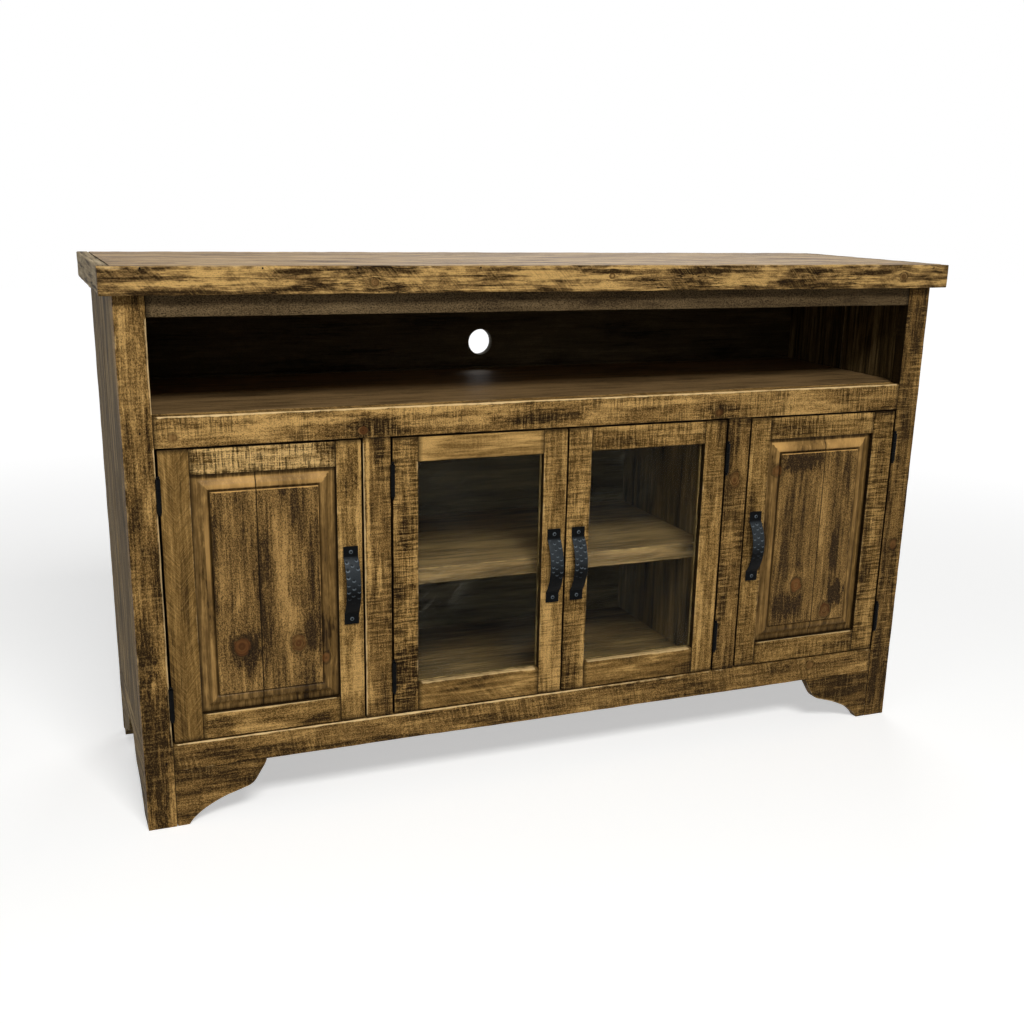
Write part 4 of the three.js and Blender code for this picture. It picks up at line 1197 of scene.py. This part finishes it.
# A strap bowed out of the door's face: a rounded bar on a grid, hammered on its outside
def buildStrapTree(spec):
    numbers = ("Length", "Width", "Thickness", "Reach", "End", "Corner", "Dimple Spacing",
               "Dimple Radius", "Dimple Depth")
    tree, given, out = newGroup("strapPull", [
        *[(name, "Float") for name in numbers], ("Rows", "Int"), ("Round", "Int"), ("Seed", "Int"),
        ("Material", "Material")], [("Geometry", "Geometry")], "GeometryNodeTree")
    grid = addNode(tree, "GeometryNodeMeshGrid", {
        "Size X": 1.0, "Size Y": 1.0, "Vertices X": given["Round"], "Vertices Y": given["Rows"]})
    place = separate(addNode(tree, "GeometryNodeInputPosition").outputs[0])
    angle = mul(add(place[0], 0.5), 2 * math.pi)
    cosine, sine = calc("COSINE", angle), calc("SINE", angle)

    # The first and last rows close the ends
    fromEnd = sub(0.5, calc("ABSOLUTE", place[1]))
    row = mul(fromEnd, given["Rows"])
    close = remap(row, 0.5, 2.5, 0.0, 1.0)
    close = calc("POWER", close, 0.18)
    along = mul(remap(place[1], -0.49, 0.49, -0.5, 0.5), sub(given["Length"], spec["trim"]))
    eased = mul(calc("SIGN", place[1]), smoothStep(row, 2.2, 2.8), spec["endEase"])
    along = add(along, eased)

    halfWidth, halfThick = mul(given["Width"], 0.5), mul(given["Thickness"], 0.5)

    def sectionSide(half, ratio):
        held = calc("MINIMUM", calc("MAXIMUM", mul(ratio, 1.2), -1.0), 1.0)
        return mul(add(mul(sub(half, given["Corner"]), held), mul(given["Corner"], ratio)), close)

    across = sectionSide(halfWidth, cosine)
    proud = sectionSide(halfThick, sine)

    # Bow: an arc whose inner side rises from the face at the flat ends
    halfBow = sub(mul(given["Length"], 0.5), given["End"])
    rise = sub(given["Reach"], given["Thickness"])
    radius = calc("DIVIDE", add(mul(halfBow, halfBow), mul(rise, rise)), mul(rise, 2.0))
    middle = add(radius, halfThick)
    height = sub(calc("SQRT", calc("MAXIMUM", sub(mul(middle, middle), mul(along, along)), 0.0)),
                 sub(radius, rise))
    reach = calc("SMOOTH_MAX", height, halfThick, spec["blend"])
    tilt = calc("DIVIDE", along, middle)
    bowed = smoothStep(sub(calc("ABSOLUTE", along), halfBow), 0.0012, -0.003)
    tilt = mul(tilt, bowed)
    upright = calc("SQRT", sub(1.0, mul(tilt, tilt)))

    # Hammer marks in three staggered columns, most of them in the upper half
    columnGap = calc("DIVIDE", given["Width"], spec["columns"])
    column = calc("ROUND", calc("DIVIDE", across, columnGap))
    stagger = mul(calc("ABSOLUTE", column), 0.5)
    level = sub(calc("DIVIDE", along, given["Dimple Spacing"]), stagger)
    rung = calc("ROUND", level)
    cell = combine(column, rung, given["Seed"])
    chance = addNode(tree, "ShaderNodeTexWhiteNoise", {"Vector": cell}, noise_dimensions="3D").outputs
    jitter = separate(chance["Color"])
    offX = add(sub(across, mul(column, columnGap)), mul(sub(jitter[0], 0.5), spec["jitter"][0]))
    offZ = add(mul(sub(level, rung), given["Dimple Spacing"]), mul(sub(jitter[1], 0.5), spec["jitter"][1]))
    offset = calc("SQRT", add(mul(offX, offX), mul(offZ, offZ)))
    size = mul(given["Dimple Radius"], remap(jitter[2], 0, 1, 0.75, 1.1))
    share = calc("DIVIDE", offset, size)
    dent = smoothStep(share, 1.0, 0.1)
    upper = smoothStep(along, -0.03, 0.0)
    within = mul(upper, smoothStep(sub(calc("ABSOLUTE", along), halfBow), 0.0, -0.004))
    outside = smoothStep(sine, 0.2, 0.7)
    kept = smoothStep(chance["Value"], 0.1, 0.2)
    dent = mul(dent, within, outside, kept, given["Dimple Depth"])
    proud = sub(proud, dent)

    backward = sub(mul(reach, -1.0), mul(proud, upright))
    upward = add(along, mul(proud, tilt))
    settled = combine(across, backward, upward)
    rim = mul(smoothStep(calc("ABSOLUTE", cosine), 0.75, 0.95),
              smoothStep(calc("ABSOLUTE", sine), 0.1, 0.4))

    # Painted sheen on the upper bow, where light falls, and a painted highlight on the lower lip of each
    # mark, kept before the grid is bent
    sheen = mul(smoothStep(along, -0.016, 0.022), smoothStep(sub(along, halfBow), 0.003, -0.006),
                spec["sheen"])
    lipHighlight = mul(smoothStep(calc("ABSOLUTE", sub(share, 0.85)), 0.4, 0.05),
              smoothStep(offZ, 0.0005, -0.0012), within, kept, spec["lipHighlight"])
    pit = mul(smoothStep(share, 0.75, 0.3), within, kept)
    sheen = mul(add(sheen, lipHighlight), sub(1.0, mul(pit, 0.7)), smoothStep(sine, 0.0, 0.5))
    shaped = grid.outputs[0]
    for layer, value in (("wear", rim), ("handled", sheen)):
        inputs = {"Geometry": shaped, "Name": layer, "Value": value}
        shaped = addNode(tree, "GeometryNodeStoreNamedAttribute", inputs, data_type="FLOAT",
                         domain="POINT").outputs[0]
    moved = addNode(tree, "GeometryNodeSetPosition", {"Geometry": shaped, "Position": settled})
    inputs = {"Geometry": moved.outputs[0], "Distance": 0.000002}
    merged = addNode(tree, "GeometryNodeMergeByDistance", inputs)
    return finishTree(tree, merged.outputs[0], given["Material"], out)


# The same head set on every point, along the point's facing, each turned by chance
def buildHeadsTree():
    tree, given, out = newGroup("setHeads", [
        ("Geometry", "Geometry"), ("Head", "Object"), ("Spread", "Float"), ("Seed", "Int"),
        ("Material", "Material")], [("Geometry", "Geometry")], "GeometryNodeTree")
    head = addNode(tree, "GeometryNodeObjectInfo", {"Object": given["Head"]}).outputs["Geometry"]
    facing = addNode(tree, "GeometryNodeInputNamedAttribute", {"Name": "facing"}, data_type="FLOAT_VECTOR")
    turned = addNode(tree, "FunctionNodeAlignRotationToVector", {"Vector": facing.outputs[0]}, axis="Z")

    def chance(low, high):
        inputs = {"Seed": given["Seed"], 2: low, 3: high}
        return addNode(tree, "FunctionNodeRandomValue", inputs, data_type="FLOAT").outputs[1]

    inputs = {"Rotation": turned.outputs[0], "Rotate By": combine(0, 0, chance(0.0, math.pi))}
    rotation = addNode(tree, "FunctionNodeRotateRotation", inputs, rotation_space="LOCAL")
    placed = addNode(tree, "GeometryNodeInstanceOnPoints", {
        "Points": given["Geometry"], "Instance": head, "Rotation": rotation.outputs[0],
        "Scale": chance(sub(1.0, given["Spread"]), 1.0)})
    return finishTree(tree, placed.outputs[0], given["Material"], out)


# Runs a tree once and keeps its result as a plain mesh, moved to its place
def runTree(name, tree, values, source=None, place=(0, 0, 0)):
    made = addObject(name, source or bpy.data.meshes.new(name))
    modifier = made.modifiers.new("nodes", "NODES")
    modifier.node_group = tree
    for item in tree.interface.items_tree:
        if item.in_out == "INPUT" and item.name in values:
            modifier[item.identifier] = values[item.name]
    graph = bpy.context.evaluated_depsgraph_get()
    mesh = bpy.data.meshes.new_from_object(made.evaluated_get(graph))
    made.modifiers.clear()
    shell = bmesh.new()
    shell.from_mesh(mesh)
    bmesh.ops.recalc_face_normals(shell, faces=shell.faces)
    bmesh.ops.translate(shell, verts=shell.verts, vec=Vector(place))
    shell.to_mesh(mesh)
    shell.free()
    mesh.name = name
    smoothFaces(mesh, 50)
    made.data = mesh
    return made


# A round head on the XY plane, domed, with a hole sunk in its middle and a painted highlight ring
def makeHead(name, radius, height, recess, shine, rings, sectors):
    points, faces, handled = [(0.0, 0.0, height - recess)], [], [0.0]
    for ring in range(1, rings + 1):
        share = ring / rings
        inHole = float(np.interp(share, (0.2, 0.34), (1, 0)))
        for sector in range(sectors):
            angle = 2 * math.pi * sector / sectors
            x, y = radius * share * math.cos(angle), radius * share * math.sin(angle)
            points.append((x, y, height * (1 - share ** 2.6) - recess * inHole))
            # Painted highlight: a light ring from half to nine tenths of the radius, as strong as shine
            handled.append(shine * (0.5 < share < 0.9))
    for sector in range(sectors):
        after = (sector + 1) % sectors
        faces.append((0, 1 + sector, 1 + after))
        for ring in range(rings - 1):
            inner, outer = 1 + ring * sectors, 1 + (ring + 1) * sectors
            faces.append((inner + sector, outer + sector, outer + after, inner + after))
    faces.append(tuple(1 + (rings - 1) * sectors + k for k in reversed(range(sectors))))
    return makeObject(name, points, faces, blackIron, {"handled": handled})


# Heads at (place, facing) spots
def setHeads(name, head, spots, body, spread, seed):
    source = bpy.data.meshes.new(name + "_points")
    source.from_pydata([place for place, _ in spots], [], [])
    facing = source.attributes.new("facing", "FLOAT_VECTOR", "POINT")
    facing.data.foreach_set("vector", [value for _, direction in spots for value in direction])
    values = {"Head": head, "Spread": spread, "Seed": seed, "Material": blackIron}
    dress(runTree(name, headsTree, values, source), body, "black_iron")


strapTree, headsTree = buildStrapTree(strapShape), buildHeadsTree()
heads = {
    # shine is the strength of each head's painted highlight ring
    "screwHead": {"radius": 0.0036, "height": 0.0014, "recess": 0.0011, "shine": 0.32,
                  "rings": 9, "sectors": 32},
    "nailHead": {"radius": 0.0019, "height": 0.0002, "recess": 0.00035, "shine": 0.0,
                 "rings": 4, "sectors": 14},
}
screwHead, nailHead = (makeHead(name, **spec) for name, spec in heads.items())

for body, changes in strapDimples.items():
    low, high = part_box(body + "_pull")
    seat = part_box(body + "_latch_stile")[0].y - door["seam"]
    centre = ((low.x + high.x) / 2, seat, (low.z + high.z) / 2)
    pull = runTree(body + "_strap", strapTree, {**strap, "Material": blackIron, **changes}, place=centre)
    dress(pull, body, "black_iron", body + "_pull")
    out = centre[2] - low.z - strap["End"] / 2
    spots = [((centre[0], seat - strap["Thickness"], centre[2] + end * out), (0, -1, 0)) for end in (-1, 1)]
    setHeads(body + "_pull_screws", screwHead, spots, body, 0.0, 1)


hinge = {
    "knuckle": 0.004, "pin": 0.0017, "tip": 0.003, "tipLength": 0.005, "middle": 0.020, "gap": 0.0004,
    "leafSpace": 0.0004, "leaf": 0.001, "round": 28, "ease": 0.0005,
}


# Rings of (radius, height) turned about a pin
def lathe(points, faces, rings, x, y):
    start = len(points)
    turns = [2 * math.pi * k / hinge["round"] for k in range(hinge["round"])]
    points += [(x + radius * math.cos(turn), y + radius * math.sin(turn), z)
               for radius, z in rings for turn in turns]
    faces += tubeFaces(len(rings), hinge["round"], start)


def knuckleRings(low, high, radius, ease):
    turns = (0, math.pi / 4, math.pi / 2)
    arc = [(radius - ease * (1 - math.cos(t)), ease * (1 - math.sin(t))) for t in turns]
    return [(r, low + drop) for r, drop in reversed(arc)] + [(r, high - drop) for r, drop in arc]


def ballRings(base, length, radius, neck, direction):
    rings = [(neck, base)]
    for k in range(1, 9):
        t = math.pi * (0.15 + 0.82 * k / 8)
        rings.append((max(radius * math.sin(t), 0.0002), base + direction * length * (1 - math.cos(t)) / 2))
    return rings if direction > 0 else rings[::-1]


# The door's leaf has the middle knuckle, and the one on the frame has the outer two and the pin
def makeHinge(body, which, swing):
    leafNode, pinNode = f"{body}_{which}_hinge_leaf", f"{body}_{which}_hinge_pin_leaf"
    leafLow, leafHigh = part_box(leafNode)
    middleZ = (leafLow.z + leafHigh.z) / 2
    half = (leafHigh.z - leafLow.z) / 2
    axisX = (leafLow.x + hinge["knuckle"]) if swing > 0 else (leafHigh.x - hinge["knuckle"])
    axisY = leafLow.y + hinge["knuckle"]
    inner = hinge["middle"] / 2
    outer = inner + hinge["gap"]
    for node, owner, sign, spans in ((leafNode, body, swing, [(-inner, inner)]),
                                     (pinNode, "root", -swing, [(-half, -outer), (outer, half)])):
        points, faces = [], []
        for low, high in spans:
            rings = knuckleRings(middleZ + low, middleZ + high, hinge["knuckle"], hinge["ease"])
            lathe(points, faces, rings, axisX, axisY)
        if node == pinNode:
            for way in (1, -1):
                rings = ballRings(middleZ + way * half, hinge["tipLength"], hinge["tip"], hinge["pin"], way)
                lathe(points, faces, rings, axisX, axisY)
        near = axisX + sign * hinge["leafSpace"] / 2
        plate = sorted((near, near + sign * hinge["leaf"]))
        corners = rectangle(plate[0], plate[1], axisY + hinge["pin"], leafHigh.y)
        start = len(points)
        for z in (middleZ - half, middleZ + half):
            points += [(x, y, z) for x, y, _ in corners]
        faces += [tuple(start + v for v in face) for face in
                  ((3, 2, 1, 0), (4, 5, 6, 7), (0, 1, 5, 4), (1, 2, 6, 5), (2, 3, 7, 6), (3, 0, 4, 7))]
        dress(makeObject(node + "_iron", points, faces, blackIron), owner, "black_iron", node)


for body, swing in doorSwings.items():
    for which in ("lower", "upper"):
        makeHinge(body, which, swing)

nails = {
    "strip": (-0.702, -0.524, -0.378, -0.175, -0.005, 0.239, 0.339, 0.543, 0.651),
    "stripHeight": 0.9105, "sunk": 0.0003,
    "stiles": ((-0.707, 0.116), (-0.715, 0.665), (0.713, 0.66)),
    "backColumns": 14, "backRows": 10, "columnInset": 0.009, "rowInset": 0.03, "edgeInset": 0.01,
}


# Nails along the top's front strip, in the stiles, and round the edge of the back
def makeNails(spec):
    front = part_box("top_edge_front")[0].y + spec["sunk"]
    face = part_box("stile_left")[0].y + spec["sunk"]
    spots = [(x, front, spec["stripHeight"]) for x in spec["strip"]]
    spots += [(x, face, z) for x, z in spec["stiles"]]
    setHeads("frame_nails", nailHead, [(spot, (0, -1, 0)) for spot in spots], "root", 0.25, 4)
    low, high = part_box("back_panel")
    rear = high.y - spec["sunk"]
    inset = spec["columnInset"]
    columns = [float(x) for x in np.linspace(low.x + inset, high.x - inset, spec["backColumns"])]
    inset = spec["rowInset"]
    rows = [float(z) for z in np.linspace(low.z + inset, high.z - inset, spec["backRows"])]
    ends = (low.z + spec["edgeInset"], high.z - spec["edgeInset"])
    spots = [(x, rear, z) for x in (columns[0], columns[-1]) for z in rows]
    spots += [(x, rear, z) for x in columns[1:-1] for z in ends]
    setHeads("back_nails", nailHead, [(spot, (0, 1, 0)) for spot in spots], "root", 0.25, 6)


makeNails(nails)
for head in (screwHead, nailHead):
    bpy.data.objects.remove(head)

print("stage: studio")

studio = {
    "floor": (232, 232, 230), "floorHalf": 12,
    "key": {"place": (-0.5, -3.3, 3.35), "size": (1.6, 0.9), "power": 128},
    "fill": {"place": (-3.2, -1.8, 1.4), "size": (1.8, 1.8), "power": 16},
    "rim": {"place": (1.5, 2.6, 2.8), "size": (2.0, 1.0), "power": 26},
    "aim": (0, 0, 0.5),
    "ambient": 0.08,
    "glow": (0.5, 1.0),      # how far the floor is lit for the camera, near and far
    "glowReach": (1.2, 3.5),
}


def addLamp(name, spec, aim):
    data = bpy.data.lights.new(name, "AREA")
    data.shape = "RECTANGLE"
    data.size, data.size_y = spec["size"]
    data.energy = spec["power"]
    lamp = addObject(name, data)
    lamp.location = spec["place"]
    lamp.rotation_mode = "QUATERNION"
    lamp.rotation_quaternion = (Vector(aim) - Vector(spec["place"])).to_track_quat("-Z", "Y")


# 1 for rays that should see the white background
def seenDirectly(tree):
    path = addNode(tree, "ShaderNodeLightPath").outputs
    seen = calc("MAXIMUM", path["Is Camera Ray"], path["Is Glossy Ray"])
    return calc("MAXIMUM", seen, path["Is Transmission Ray"])


def addStudio(spec):
    for name in ("key", "fill", "rim"):
        addLamp(name, spec[name], spec["aim"])
    world = bpy.data.worlds.new("studio")
    world.use_nodes = True
    strength = remap(seenDirectly(world.node_tree), 0, 1, spec["ambient"], 1.0)
    setInputs(world.node_tree.nodes["Background"], {"Color": (1, 1, 1, 1), "Strength": strength})
    bpy.context.scene.world = world
    floor, tree, surface, place = newMaterial("paleFloor")
    far = smoothStep(vectorCalc("LENGTH", place), *spec["glowReach"])
    glow = remap(far, 0, 1, *spec["glow"])
    setInputs(surface, {
        "Base Color": mixColour(far, paint(*spec["floor"]), (0, 0, 0, 1)),
        "Roughness": 0.9, "Specular IOR Level": 0.1,
        "Emission Color": (1, 1, 1, 1), "Emission Strength": mul(seenDirectly(tree), glow),
    })
    half = spec["floorHalf"]
    corners = [(-half, -half, 0), (half, -half, 0), (half, half, 0), (-half, half, 0)]
    made = makeObject("floor", corners, [(0, 1, 2, 3)], floor)


addStudio(studio)

print("stage: done")
